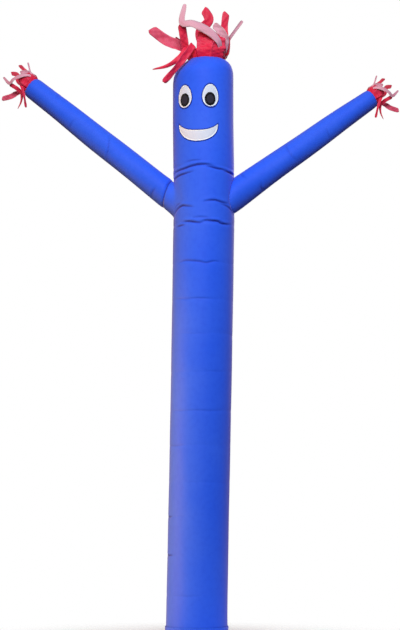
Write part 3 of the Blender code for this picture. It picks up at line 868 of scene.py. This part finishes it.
def make_sleeve(sleeve):
    """A sleeve's mesh: rings from the armhole's seam to the hand, then puckers, creases and hem."""
    root, axis, wrist, taper = sleeve_axis(sleeve)
    forward, upward, hand = sleeve_frame(sleeve)
    turns = np.linspace(-math.pi, math.pi, SLEEVE_COLUMNS, endpoint=False)
    spokes = [forward * math.cos(t) + upward * math.sin(t) for t in turns]
    starts = np.array([sleeve_start(sleeve, spoke) for spoke in spokes])
    length = wrist + SLEEVE_RIM
    near_seam = np.arange(-SLEEVE_TUCK, SLEEVE_SEAM_REACH, SLEEVE_SEAM_STEP)
    body = np.linspace(SLEEVE_SEAM_REACH, length, round((length - SLEEVE_SEAM_REACH) / SLEEVE_STEP))
    steps = np.concatenate([near_seam, body]) / length
    along = starts[None] + (length - starts[None]) * steps[:, None]
    turn = np.broadcast_to(turns, along.shape)
    radius = np.interp(
        along, [-SLEEVE_INSIDE, 0, wrist, length],
        [sleeve.root_radius - SLEEVE_INSIDE * taper, sleeve.root_radius, sleeve.wrist_radius,
         sleeve.end_radius],
    )
    from_seam = np.clip(along - starts[None], 0, None)
    pucker = np.cos(PUCKERS * turn + 1.3 * np.sin(2 * turn))
    press = SLEEVE_PINCH[sleeve.side] * fall_off(from_seam, SEAM_REACH)
    press = press + PUCKER_DEPTH * (1 + pucker) * fall_off(from_seam, PUCKER_REACH, 1)
    wrap = math.tau * sleeve.root_radius
    flat = np.stack([turn * sleeve.root_radius, along], -1).reshape(-1, 2)
    creases, fold = crease_depth(flat[:, 0], flat[:, 1], wrap, SLEEVE_CREASES[sleeve.side])
    swell = SLEEVE_OVAL * np.sin(2 * turn + 9 * along) + SLEEVE_UNEVEN * np.sin(3 * turn - 14 * along + 1)
    swell = swell * np.clip(from_seam / SLEEVE_CALM, 0, 1)
    hem = np.clip((along - (length - HEM_DEPTH)) / HEM_EDGE, 0, 1)
    gathered = HAND_GATHER_DEPTH * np.cos(HAND_GATHERS * turn)
    gathered = gathered * fall_off(length - along, HAND_GATHER_REACH, 1)
    seam = back_seam(turn, sleeve.root_radius)
    radius = radius - press - creases.reshape(along.shape) + swell + HEM_RAISE * hem + gathered
    radius = radius + BACK_SEAM_RIDGE * seam
    spoke = np.array(spokes)[None]
    points = np.array(root) + along[..., None] * np.array(axis) + radius[..., None] * spoke
    stitched = np.maximum(seam, fall_off(from_seam - FELL_STITCH, FELL_STITCH_WIDTH, 4))
    stitched = np.maximum(stitched, fall_off(length - HEM_STITCH - along, HEM_STITCH_WIDTH, 4))
    # Painted shade along the armhole's seam, on top of the painted shade in the creases
    fold = np.maximum(fold, SEAM_SHADE[sleeve.side] * fall_off(from_seam, SEAM_SHADE_REACH).ravel())
    faces = grid_faces(len(steps), SLEEVE_COLUMNS, True, flip=hand > 0)
    return make_cloth(
        "sleeve_" + sleeve.side + "_cloth", points.reshape(-1, 3), faces, flat, blue.material,
        wrap=wrap, marks={"fold": fold, "seam": stitched.ravel()},
    )


for sleeve in SLEEVES:
    cloth = make_sleeve(sleeve)
    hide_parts("sleeve_" + sleeve.side)

# ---------------------------------------------------------------------------------------------------------
# Cuff: a band of heavier blue nylon sewn round the foot of the tube, hemmed at both edges, that slips over
# the blower's outlet. Two rows of stitches hold each hem.

CUFF_HEIGHT = 0.080
CUFF_ROWS = 44
CUFF_COLUMNS = 144
CUFF_INSIDE = 0.1545
CUFF_WEIGHT = 0.0016
CUFF_FLARE = 0.0018
CUFF_HEM = 0.017
CUFF_HEM_SWELL = 0.0008
CUFF_HEM_EASE = 0.003
CUFF_EDGE = 0.004
CUFF_RIPPLE = 0.0006
CUFF_STITCH_ROWS = (0.0130, 0.0160, 0.0640, 0.0670)
CUFF_STITCH_WIDTH = 0.0010
CUFF_STITCH_DENT = 0.0005


def make_cuff():
    """The cuff's mesh, with its hems a little thicker and dented where the stitches pull."""
    heights = np.linspace(0.0, CUFF_HEIGHT, CUFF_ROWS)
    turns = np.linspace(-math.pi, math.pi, CUFF_COLUMNS, endpoint=False)
    turn, height = (grid.ravel() for grid in np.meshgrid(turns, heights))
    from_edge = np.minimum(height, CUFF_HEIGHT - height)
    swell = CUFF_HEM_SWELL * np.clip((CUFF_HEM - from_edge) / CUFF_HEM_EASE, 0, 1)
    swell = swell * np.sqrt(np.clip(from_edge / CUFF_EDGE, 0.15, 1))
    rows = sum(fall_off(height - row, CUFF_STITCH_WIDTH) for row in CUFF_STITCH_ROWS)
    ripple = CUFF_RIPPLE * np.sin(11 * turn + 2 * np.sin(2 * turn)) * np.sin(np.pi * height / CUFF_HEIGHT)
    radius = CUFF_INSIDE + CUFF_WEIGHT + CUFF_FLARE * (1 - height / CUFF_HEIGHT) + swell + ripple
    radius = radius - CUFF_STITCH_DENT * rows
    seam = back_seam(turn, TUBE_RADIUS) * np.clip(from_edge / CUFF_EDGE, 0, 1)
    points = round_axis(turn, radius + BACK_SEAM_RIDGE * seam, lean_at(height), height)
    flat = np.stack([turn * TUBE_RADIUS, height], -1)
    return make_cloth(
        "cuff", points, grid_faces(CUFF_ROWS, CUFF_COLUMNS, True), flat, blue.material,
        thickness=CUFF_WEIGHT, wrap=TUBE_ROUND, marks={"fold": 0 * turn, "seam": rows.clip(0, 1)},
    )


cuff = make_cuff()
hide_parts("blower_cuff")

# ---------------------------------------------------------------------------------------------------------
# Face: patches of matt applique cloth glued to the head and edged all round with dense satin stitch, white
# for the eyes and smile and black for the pupils. Each stands a little proud and puffs between its edges.

FACE_HEIGHT = 2.711
EYE_TURN = math.radians(25.7)
EYE_SIZE = (0.090, 0.128)
EYE_EGG = 0.12
PUPIL_SIZE = (0.054, 0.068)
PUPIL_DROP = 0.018
PUPIL_TOE_IN = math.radians(0.6)
SMILE_TURN = math.radians(41.5)
SMILE_TIPS = 2.571
SMILE_UPPER_DROP = 0.040
SMILE_LOWER_DROP = 0.086
SMILE_TILT = 0.003
SMILE_TIP_HALF = 0.009
SMILE_FLATNESS = 2.7
SMILE_COLUMNS = 141
SMILE_ROWS = 30
PATCH_GAP = 0.0004
PATCH_THICKNESS = 0.0008
PATCH_PUFF = 0.0011
PATCH_PUFF_REACH = 0.012
PATCH_WEAVE = 0.0011
PATCH_THREAD = 0.0005
PATCH_RIM = (0.0048, 0.0054)
PATCH_RELIEF = 0.00022
STITCH_BORDER = 0.0096
STITCH_BORDER_EDGE = (STITCH_BORDER - 0.0006, STITCH_BORDER + 0.0004)
STITCH_RAISE = 0.0011
STITCH_PITCH = 0.0011
STITCH_SLANT = 0.25
OVAL_SPOKES = 96
OVAL_BORDER_RINGS = 8
OVAL_RINGS = 16


def head_point(across, height, proud):
    """Points standing proud of the head's cloth, at metres round from the middle of the face."""
    turn = across / TUBE_RADIUS
    creases, rings, _ = press_in(turn, height)
    radius, shift = tube_section(height)
    return round_axis(turn, radius - creases - rings + proud, shift, height)


def patch_height(inward, puff):
    """How far a patch stands proud, by the distance in from its edge: a rounded border, then a soft puff."""
    border = np.sqrt(np.clip(1 - ((inward / STITCH_BORDER) * 2 - 1) ** 2, 0.0, 1))
    border = np.where(inward < STITCH_BORDER, border, 0)
    inside = np.clip((inward - STITCH_BORDER) / PATCH_PUFF_REACH, 0, 1)
    return PATCH_THICKNESS + STITCH_RAISE * border + PATCH_PUFF * inside * (2 - inside) * puff


def start_patch(name, field, thread, rim):
    """A patch's cloth: a fine plain weave inside a border of satin stitch, whose outer half is its rim."""
    finish = start_cloth(name, roughness=0.62, sheen=0.02, sheen_tint=(1.0, 1.0, 1.0), specular=0.15)
    edge = finish.node("ShaderNodeUVMap", {"uv_map": "edge"})
    inward = finish.part(edge, "Y")
    on_border = finish.ease(inward, *STITCH_BORDER_EDGE, 1.0, 0.0)
    on_rim = finish.ease(inward, *PATCH_RIM, 1.0, 0.0)
    slanted = finish.part(edge, "X") + inward * STITCH_SLANT
    satin = threads(finish, slanted, STITCH_PITCH, STITCH_PITCH / 2)
    plain = weave(finish, PATCH_WEAVE, PATCH_THREAD)
    shaded_field = finish.mix((cloudy(finish, 30.0) - 0.4) * 0.6, field, tuple(0.86 * c for c in field))
    shaded_thread = finish.mix(satin, tuple(0.92 * c for c in thread), thread)
    colour = finish.mix(on_border, shaded_field, shaded_thread)
    finish.feed(finish.shader.inputs["Base Color"], finish.mix(on_rim, colour, rim))
    finish.feed(finish.shader.inputs["Roughness"], 0.72 - on_border * 0.27)
    bump(finish, satin * on_border * 2.0 + plain * (1 - on_border) * 0.4, PATCH_RELIEF)
    return finish.material


white_patch = start_patch(
    "white_applique", field=(0.57, 0.62, 0.74), thread=(0.90, 0.96, 1.00), rim=(0.010, 0.040, 0.360)
)
black_patch = start_patch(
    "black_applique", field=(0.022, 0.020, 0.034), thread=(0.004, 0.004, 0.006), rim=(0.003, 0.003, 0.006)
)


def make_patch(name, across, height, inward, along_edge, faces, material, puff=1.0, lift=0.0):
    """A patch on the head from points on the flat cloth, with its place from the edge kept for the stitch."""
    points = head_point(across, height, PATCH_GAP + lift + patch_height(inward, puff))
    patch = make_cloth(
        name, points, faces, np.stack([across, height], -1), material, thickness=PATCH_THICKNESS
    )
    lay_flat(patch.data, "edge", np.stack([along_edge, inward], -1), along_edge.max())
    return patch


def make_oval(name, middle, size, egg, material, puff=1.0, lift=0.0):
    """An oval patch, narrower towards its top by egg, in rings that are close together over its border."""
    turns = np.linspace(0, math.tau, OVAL_SPOKES, endpoint=False)
    edge_x = size[0] / 2 * np.cos(turns) * (1 - egg * np.sin(turns))
    edge_y = size[1] / 2 * np.sin(turns)
    small = min(size) / 2
    border = np.linspace(0, 1.25 * STITCH_BORDER, OVAL_BORDER_RINGS) / small
    rings = np.concatenate([border, np.linspace(border[-1], 0.97, OVAL_RINGS - OVAL_BORDER_RINGS + 1)[1:]])
    across = middle[0] + (1 - rings)[:, None] * edge_x
    height = middle[1] + (1 - rings)[:, None] * edge_y
    inward = np.broadcast_to((rings * small)[:, None], across.shape)
    lengths = np.hypot(np.diff(edge_x, append=edge_x[0]), np.diff(edge_y, append=edge_y[0]))
    along = np.broadcast_to(np.concatenate([[0], np.cumsum(lengths)[:-1]]), across.shape)
    faces = grid_faces(len(rings), OVAL_SPOKES, True)
    last = (len(rings) - 1) * OVAL_SPOKES
    faces.append(tuple(range(last, last + OVAL_SPOKES)))
    return make_patch(
        name, across.ravel(), height.ravel(), inward.ravel(), along.ravel(), faces, material, puff, lift
    )


def make_smile(name, material):
    """The smile, a crescent: rows from its upper edge to its lower, close together at both."""
    columns = np.sin(np.linspace(-math.pi / 2, math.pi / 2, SMILE_COLUMNS))
    upper = SMILE_TIPS + SMILE_TIP_HALF - SMILE_UPPER_DROP * (1 - np.abs(columns) ** SMILE_FLATNESS)
    lower = SMILE_TIPS - SMILE_TIP_HALF - SMILE_LOWER_DROP * np.sqrt(1 - columns ** 2)
    upper, lower = upper - SMILE_TILT * columns, lower - SMILE_TILT * columns
    shares = (1 - np.cos(np.linspace(0, math.pi, SMILE_ROWS))) / 2
    height = upper[None] + (lower - upper)[None] * shares[:, None]
    across = np.broadcast_to(columns * SMILE_TURN * TUBE_RADIUS, height.shape)
    outline = np.vstack([
        np.stack([across[0], upper], -1), np.stack([across[0], lower], -1)[::-1], (across[0, 0], upper[0]),
    ])
    inward, _, along, _ = nearest_on(outline, np.stack([across.ravel(), height.ravel()], -1))
    faces = grid_faces(SMILE_ROWS, SMILE_COLUMNS, False, flip=True)
    return make_patch(name, across.ravel(), height.ravel(), inward, along, faces, material)


def finish_patch(node):
    """Hides the part that the patch stands for."""
    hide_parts(node)


for side, way in (("left", -1), ("right", 1)):
    eye_middle = (way * EYE_TURN * TUBE_RADIUS, FACE_HEIGHT)
    eye = make_oval("eye_" + side + "_patch", eye_middle, EYE_SIZE, EYE_EGG, white_patch)
    finish_patch("eye_" + side)
    pupil_middle = (way * (EYE_TURN - PUPIL_TOE_IN) * TUBE_RADIUS, FACE_HEIGHT - PUPIL_DROP)
    pupil = make_oval(
        "pupil_" + side + "_patch", pupil_middle, PUPIL_SIZE, 0.0, black_patch,
        puff=0.5, lift=PATCH_PUFF + PATCH_THICKNESS,
    )
    finish_patch("pupil_" + side)
smile = make_smile("smile_patch", white_patch)
finish_patch("smile")

# ---------------------------------------------------------------------------------------------------------
# Streamers: at the crown and at each hand, a comb of bright red nylon and inside it a comb of paler, half
# sheer cloth. Each is a collar tucked in and sewn, its free edge cut into strips that the air throws about.

STREAMER_FRONT = math.radians(12.4)
COLLAR_TUCK = 0.020
COLLAR_TOP = 0.038
COLLAR_BULGE = 0.020
LEFT_STREAMER_SCALE = 0.5
RIGHT_STREAMER_SCALE = 0.46
PALE_COLLAR_INSET = 0.0075
CROWN_COLLAR_RADIUS = 0.0835
CROWN_COLLAR_SHIFT = 0.0175
CROWN_COLLAR_FOOT = 2.925
HAND_COLLAR_INSET = 0.0035
COLLAR_COLUMNS = 120
COLLAR_ROWS = 12
COLLAR_RUFFLE = 0.0022
COLLAR_FRILL = 0.0016
COLLAR_WAVE = 0.003
# Painted light on the collar's free part as if through the cloth, and painted shade in gathers and foot
COLLAR_PAINTED_BACKLIGHT = 0.15
COLLAR_GATHER_SHADE = 0.14
COLLAR_FOOT_SHADE = 0.35
COLLAR_FOOT_SHADE_REACH = 0.005
STRIP_RISES = (-0.010, 0.012, COLLAR_TOP)
STRIP_GAP = 0.0012
STRIP_THICKNESS = 0.0005
STRIP_STEPS = 24
STRIP_ROWS = 44
STRIP_CELLS = 8
STRIP_LOOSENING = 2.2
STRIP_TWIST_FROM = 0.10
STRIP_TWIST_OVER = 0.50
STRIP_CUP = 0.16
STRIP_RIPPLE = 0.07
STRIP_CRUMPLE = 0.045
STRIP_SKEW = 0.35
STRIP_TIP = 0.30
# Painted shade in the strips' crumples and near their foot
STRIP_FOLD_SHADE = 0.20
STRIP_FOOT_SHADE = 0.20
STRIP_FOOT_SHADE_REACH = 0.030
STREAMER_PITCH = 0.0052
STREAMER_LINE = 0.0006
STREAMER_RELIEF = 0.00012
# Each cloth's own colour, the colour painted where light comes through it, and its painted shade colour
RED = (0.720, 0.006, 0.044)
RED_LIT = (0.640, 0.085, 0.160)
RED_PAINTED_SHADE = (0.260, 0.003, 0.016)
PALE = (0.690, 0.330, 0.430)
PALE_LIT = (0.450, 0.330, 0.350)
PALE_PAINTED_SHADE = (0.480, 0.110, 0.180)

# Each strip: degrees round its collar, widths at its root, half way and tip, the degrees that it twists,
# and the way it runs: metres to the right, forwards and up from the middle of the collar's foot. Then how
# much painted light its loose part gets as if through the cloth, from 0 to 1, and how much painted shade
# its neighbours cast on that part
Strip = namedtuple(
    "Strip", "name turn root_width width tip_width twist route sheer shade", defaults=(0.25, 0.0)
)
RED_STRIPS = (
    Strip("brow", -42, 0.032, 0.036, 0.032, 45,
          ((-0.067, 0.098, 0.055), (-0.102, 0.114, 0.002), (-0.152, 0.118, -0.066), (-0.216, 0.114, -0.142))),
    Strip("brow_point", -62, 0.022, 0.030, 0.006, 75,
          ((-0.105, 0.060, 0.046), (-0.140, 0.066, -0.006), (-0.200, 0.060, -0.044),
           (-0.274, 0.050, -0.060))),
    Strip("left_post", -78, 0.040, 0.042, 0.040, -78,
          ((-0.113, 0.048, 0.085), (-0.126, 0.082, 0.164))),
    Strip("left_wing", -114, 0.042, 0.056, 0.050, 72,
          ((-0.134, -0.030, 0.078), (-0.208, -0.035, 0.114), (-0.286, -0.035, 0.172)), 1.0),
    Strip("left_tip", -141, 0.026, 0.026, 0.012, 40,
          ((-0.105, -0.080, 0.095), (-0.160, -0.085, 0.140)), 0.0, 0.9),
    Strip("back_left", -162, 0.028, 0.032, 0.030, 0,
          ((-0.050, -0.115, 0.070), (-0.085, -0.175, 0.045))),
    Strip("zigzag", 172, 0.044, 0.052, 0.046, -20,
          ((-0.016, -0.085, 0.095), (-0.032, -0.072, 0.168), (0.012, -0.066, 0.226),
           (-0.014, -0.060, 0.284))),
    Strip("back_right", 144, 0.034, 0.036, 0.032, 0,
          ((0.065, -0.115, 0.065), (0.090, -0.170, 0.040))),
    Strip("right_low", 112, 0.028, 0.034, 0.030, -75,
          ((0.104, -0.045, 0.080), (0.106, -0.042, 0.128))),
    Strip("right_post", 90, 0.032, 0.038, 0.036, -100,
          ((0.096, 0.000, 0.095), (0.090, 0.005, 0.165), (0.100, 0.010, 0.246))),
    Strip("front_right", 34, 0.086, 0.082, 0.064, 6,
          ((0.060, 0.084, 0.066), (0.060, 0.080, 0.112))),
    Strip("front", -6, 0.074, 0.084, 0.080, 0,
          ((-0.005, 0.090, 0.092), (-0.004, 0.072, 0.142))),
)
PALE_STRIPS = (
    Strip("band", 45, 0.018, 0.050, 0.020, 0,
          ((0.058, 0.100, 0.076), (0.008, 0.118, 0.121), (-0.066, 0.115, 0.160), (-0.124, 0.092, 0.174),
           (-0.110, 0.065, 0.274))),
    Strip("right_fold", 71, 0.020, 0.044, 0.036, 70,
          ((0.094, 0.046, 0.085), (0.076, 0.056, 0.130), (0.036, 0.060, 0.170))),
    Strip("right_thin", 131, 0.010, 0.018, 0.016, -70,
          ((0.092, -0.080, 0.080), (0.108, -0.076, 0.118), (0.184, -0.062, 0.222))),
)


def start_streamer_cloth(name, plain, lit, deep, sheen):
    """Thin nylon: painted light through its loose ends, and painted shade near the collar and in folds."""
    finish = start_cloth(name, roughness=0.50, sheen=sheen, sheen_tint=(1.0, 0.85, 0.88), specular=0.18)
    patches = cloudy(finish, 22.0)
    colour = finish.mix(finish.mark("thin") * (0.4 + patches), plain, lit)
    finish.feed(finish.shader.inputs["Base Color"], finish.mix(finish.mark("fold"), colour, deep))
    finish.feed(finish.shader.inputs["Roughness"], 0.46 + patches * 0.10)
    ripstop = weave(finish, STREAMER_PITCH, STREAMER_LINE)
    bump(finish, ripstop * 0.5 + cloudy(finish, 800.0) * 0.4, STREAMER_RELIEF)
    return finish.material


streamer_cloth = {
    "red_nylon": start_streamer_cloth("red_nylon", RED, RED_LIT, RED_PAINTED_SHADE, 0.01),
    "pale_pink_nylon": start_streamer_cloth("pale_pink_nylon", PALE, PALE_LIT, PALE_PAINTED_SHADE, 0.05),
}


def streamer_frame(origin, up, hand):
    """The frame that a comb's strips are placed in: right, forwards and up, from its collar's foot."""
    up = np.array(up, float) / np.linalg.norm(up)
    front = np.array([math.sin(STREAMER_FRONT), -math.cos(STREAMER_FRONT), 0.0])
    front -= up * front.dot(up)
    front /= np.linalg.norm(front)
    return np.array(origin, float), np.stack([np.cross(up, front) * hand, front, up])


def collar_reach(radius, unit, rise):
    """How far out the collar bulges at a rise over the rim that it is tucked into."""
    return radius + COLLAR_BULGE * unit * np.clip(rise / COLLAR_TOP, 0, 1) ** 0.5


def strip_line(strip, radius, unit):
    """The middle line of a strip from inside its collar to its tip, in the comb's frame."""
    turn = math.radians(strip.turn)
    out = np.array([math.sin(turn), math.cos(turn), 0.0])
    through = [
        out * (collar_reach(radius, unit, rise) + STRIP_GAP) + np.array([0, 0, rise * unit])
        for rise in STRIP_RISES
    ]
    through += [np.array(point) * unit for point in strip.route]
    line = smooth_through(through, STRIP_STEPS)
    steps = np.linalg.norm(np.diff(line, axis=0), axis=1)
    runs = np.concatenate([[0], np.cumsum(steps)])
    even = np.linspace(0, runs[-1], STRIP_ROWS)
    return np.stack([np.interp(even, runs, line[:, k]) for k in range(3)], -1), runs[-1]


def lay_strip(strip, radius, unit, number):
    """A strip's grid of points: twisted along its line, cupped, rippled at its edges and cut at its tip.
    Its loose part gets painted light, as if through the cloth, most towards its edges, and it gets painted
    shade near its foot, in its folds and under its neighbours. A hand's strips are shorter and shade each
    other more, which is painted towards their tips."""
    line, length = strip_line(strip, radius, unit)
    turn = math.radians(strip.turn)
    ahead = np.gradient(line, axis=0)
    ahead /= np.linalg.norm(ahead, axis=1)[:, None]
    across = np.array([math.cos(turn), -math.sin(turn), 0.0])
    share = np.linspace(0, 1, STRIP_ROWS)
    width = np.interp(share, [0, 0.5, 1], [strip.root_width, strip.width, strip.tip_width]) * unit
    to_tip = (1 - share) * length
    rounded = 1 - np.clip(to_tip / (STRIP_TIP * width[-1] + 0.001), 0, 1)
    width *= np.sqrt(np.clip(1 - rounded ** 2, STRIP_TIP, 1))
    cells = np.linspace(-0.5, 0.5, STRIP_CELLS + 1)
    points, thin, fold = [], [], []
    for row in range(STRIP_ROWS):
        across = across - ahead[row] * across.dot(ahead[row])
        across /= np.linalg.norm(across)
        twisted = min(max(share[row] - STRIP_TWIST_FROM, 0) / STRIP_TWIST_OVER, 1)
        twist = math.radians(strip.twist) * twisted
        side = np.cross(ahead[row], across)
        lie = across * math.cos(twist) + side * math.sin(twist)
        face = np.cross(ahead[row], lie)
        loose = min(share[row] * STRIP_LOOSENING, 1.0)
        cup = STRIP_CUP * math.sin(2.1 * number + 5.0 * share[row]) * loose
        ripple = STRIP_RIPPLE * math.sin(17 * share[row] + 1.7 * number) * loose
        crumple = STRIP_CRUMPLE * math.sin(41 * share[row] + 2.9 * number) * loose
        bend = cup * (4 * cells ** 2 - 0.5) + ripple * cells * 2 + crumple * np.sin(9 * cells + number)
        at_tip = max(share[row] - 0.9, 0) / 0.1
        skew = STRIP_SKEW * strip.tip_width * unit * cells * at_tip * math.sin(3.3 * number)
        sideways = np.outer(width[row] * cells, lie) + np.outer(width[row] * bend, face)
        points.append(line[row] + sideways + np.outer(skew, ahead[row]))
        edge = (2 * np.abs(cells)) ** 3
        # Painted light, as if coming through the cloth, on the loose part and most towards its edges
        thin.append(loose * (strip.sheer + (1 - strip.sheer) * edge * 0.6))
        # Painted shade near the foot, towards a hand strip's tip, in the crumples and from the neighbours
        by_foot = STRIP_FOOT_SHADE * fall_off(share[row] * length, STRIP_FOOT_SHADE_REACH * unit, 1)
        by_hand = (1 - unit) * (1 - strip.sheer) * share[row] ** 2
        crumple_shade = STRIP_FOLD_SHADE * abs(math.sin(8.5 * share[row] + number)) * (1 - edge)
        fold.append(by_foot + by_hand + (strip.shade + crumple_shade) * loose)
    flat = np.stack(
        np.broadcast_arrays(width[:, None] * cells + 0.1 * number, (share * length)[:, None]), -1
    )
    return np.concatenate(points), flat.reshape(-1, 2), np.concatenate(thin), np.concatenate(fold), length


def lay_collar(radius, unit, number):
    """The collar's grid: tucked in at its foot, flared and ruffled at its free edge."""
    turns = np.linspace(0, math.tau, COLLAR_COLUMNS, endpoint=False)
    share = np.linspace(0, 1, COLLAR_ROWS)[:, None]
    height = (-COLLAR_TUCK + (COLLAR_TUCK + COLLAR_TOP) * share) * unit
    free = np.clip(height / (COLLAR_TOP * unit), 0, 1)
    ruffle = COLLAR_RUFFLE * np.sin(13 * turns + number) + COLLAR_FRILL * np.sin(29 * turns + 2 * number)
    out = collar_reach(radius, unit, height / unit) + ruffle * unit * free
    height = height + COLLAR_WAVE * unit * free * np.sin(7 * turns + number)
    points = np.stack([out * np.sin(turns), out * np.cos(turns), height + 0 * turns], -1).reshape(-1, 3)
    flat = np.stack(np.broadcast_arrays(turns * radius, height), -1).reshape(-1, 2)
    # Painted shade in the gathers and at the foot; the free part gets painted light as if through the cloth
    gather_shade = COLLAR_GATHER_SHADE * np.clip(np.sin(13 * turns + number + 1.2), 0, 1) + 0 * height
    by_foot = fall_off(np.clip(height, 0, None), COLLAR_FOOT_SHADE_REACH * unit, 1)
    fold = np.maximum(gather_shade, COLLAR_FOOT_SHADE * by_foot)
    return points, flat, (COLLAR_PAINTED_BACKLIGHT * free + 0 * turns).ravel(), fold.ravel()


def finish_streamers(name, node, slot, laid, faces, comb, area):
    """A sheet of a comb, placed where its node is. Laid is its points, flat places, painted light and shade.
    """
    start, axes = comb
    points, places, thin, fold = laid
    cloth = make_cloth(
        name, start + points @ axes, faces, places, streamer_cloth[slot],
        thickness=STRIP_THICKNESS, marks={"thin": thin, "fold": fold},
    )
    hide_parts(node)


def make_comb(name, node, strips, comb, hand, radius, unit, slot):
    """A comb of streamers: its collar, and its strips."""
    laid = lay_collar(radius, unit, len(strips))
    faces = grid_faces(COLLAR_ROWS, COLLAR_COLUMNS, True, flip=hand > 0)
    flat = (math.tau * radius, (COLLAR_TUCK + COLLAR_TOP) * unit)
    finish_streamers(name + "_collar", node, slot, laid, faces, comb, flat[0] * flat[1])
    runs = [lay_strip(strip, radius, unit, number) for number, strip in enumerate(strips, 1)]
    one = grid_faces(STRIP_ROWS, STRIP_CELLS + 1, False, flip=hand > 0)
    each = STRIP_ROWS * (STRIP_CELLS + 1)
    faces = [tuple(number * each + k for k in face) for number in range(len(runs)) for face in one]
    laid = [np.concatenate([run[k] for run in runs]) for k in range(4)]
    widths = [max(strip.root_width, strip.width, strip.tip_width) * unit for strip in strips]
    means = [(strip.root_width + 2 * strip.width + strip.tip_width) / 4 * unit for strip in strips]
    lengths = [run[4] for run in runs]
    area = sum(width * length for width, length in zip(means, lengths))
    flat = (sum(widths), max(lengths))
    finish_streamers(name + "_strips", node, slot, laid, faces, comb, area)


left, right = SLEEVES
left_radius = left.end_radius - HAND_COLLAR_INSET
right_radius = right.end_radius - HAND_COLLAR_INSET
crown_foot = (float(lean_at(CROWN_COLLAR_FOOT)) + CROWN_COLLAR_SHIFT, 0.0, CROWN_COLLAR_FOOT)
# Each comb: its place, the middle of its foot, the way up, 1 or -1 where it is mirrored, radius and scale
COMBS = (
    ("crown", crown_foot, (0.0, 0.0, 1.0), 1, CROWN_COLLAR_RADIUS, 1.0),
    ("left_hand", left.hand, sleeve_axis(left)[1], 1, left_radius, LEFT_STREAMER_SCALE),
    ("right_hand", right.hand, sleeve_axis(right)[1], -1, right_radius, RIGHT_STREAMER_SCALE),
)
for place, foot, up, hand, radius, unit in COMBS:
    comb = streamer_frame(foot, up, hand)
    pale_radius = radius - PALE_COLLAR_INSET * unit
    make_comb(place + "_red", place + "_streamers_red", RED_STRIPS, comb, hand, radius, unit, "red_nylon")
    make_comb(
        place + "_pale", place + "_streamers_pale", PALE_STRIPS, comb, hand, pale_radius, unit,
        "pale_pink_nylon",
    )
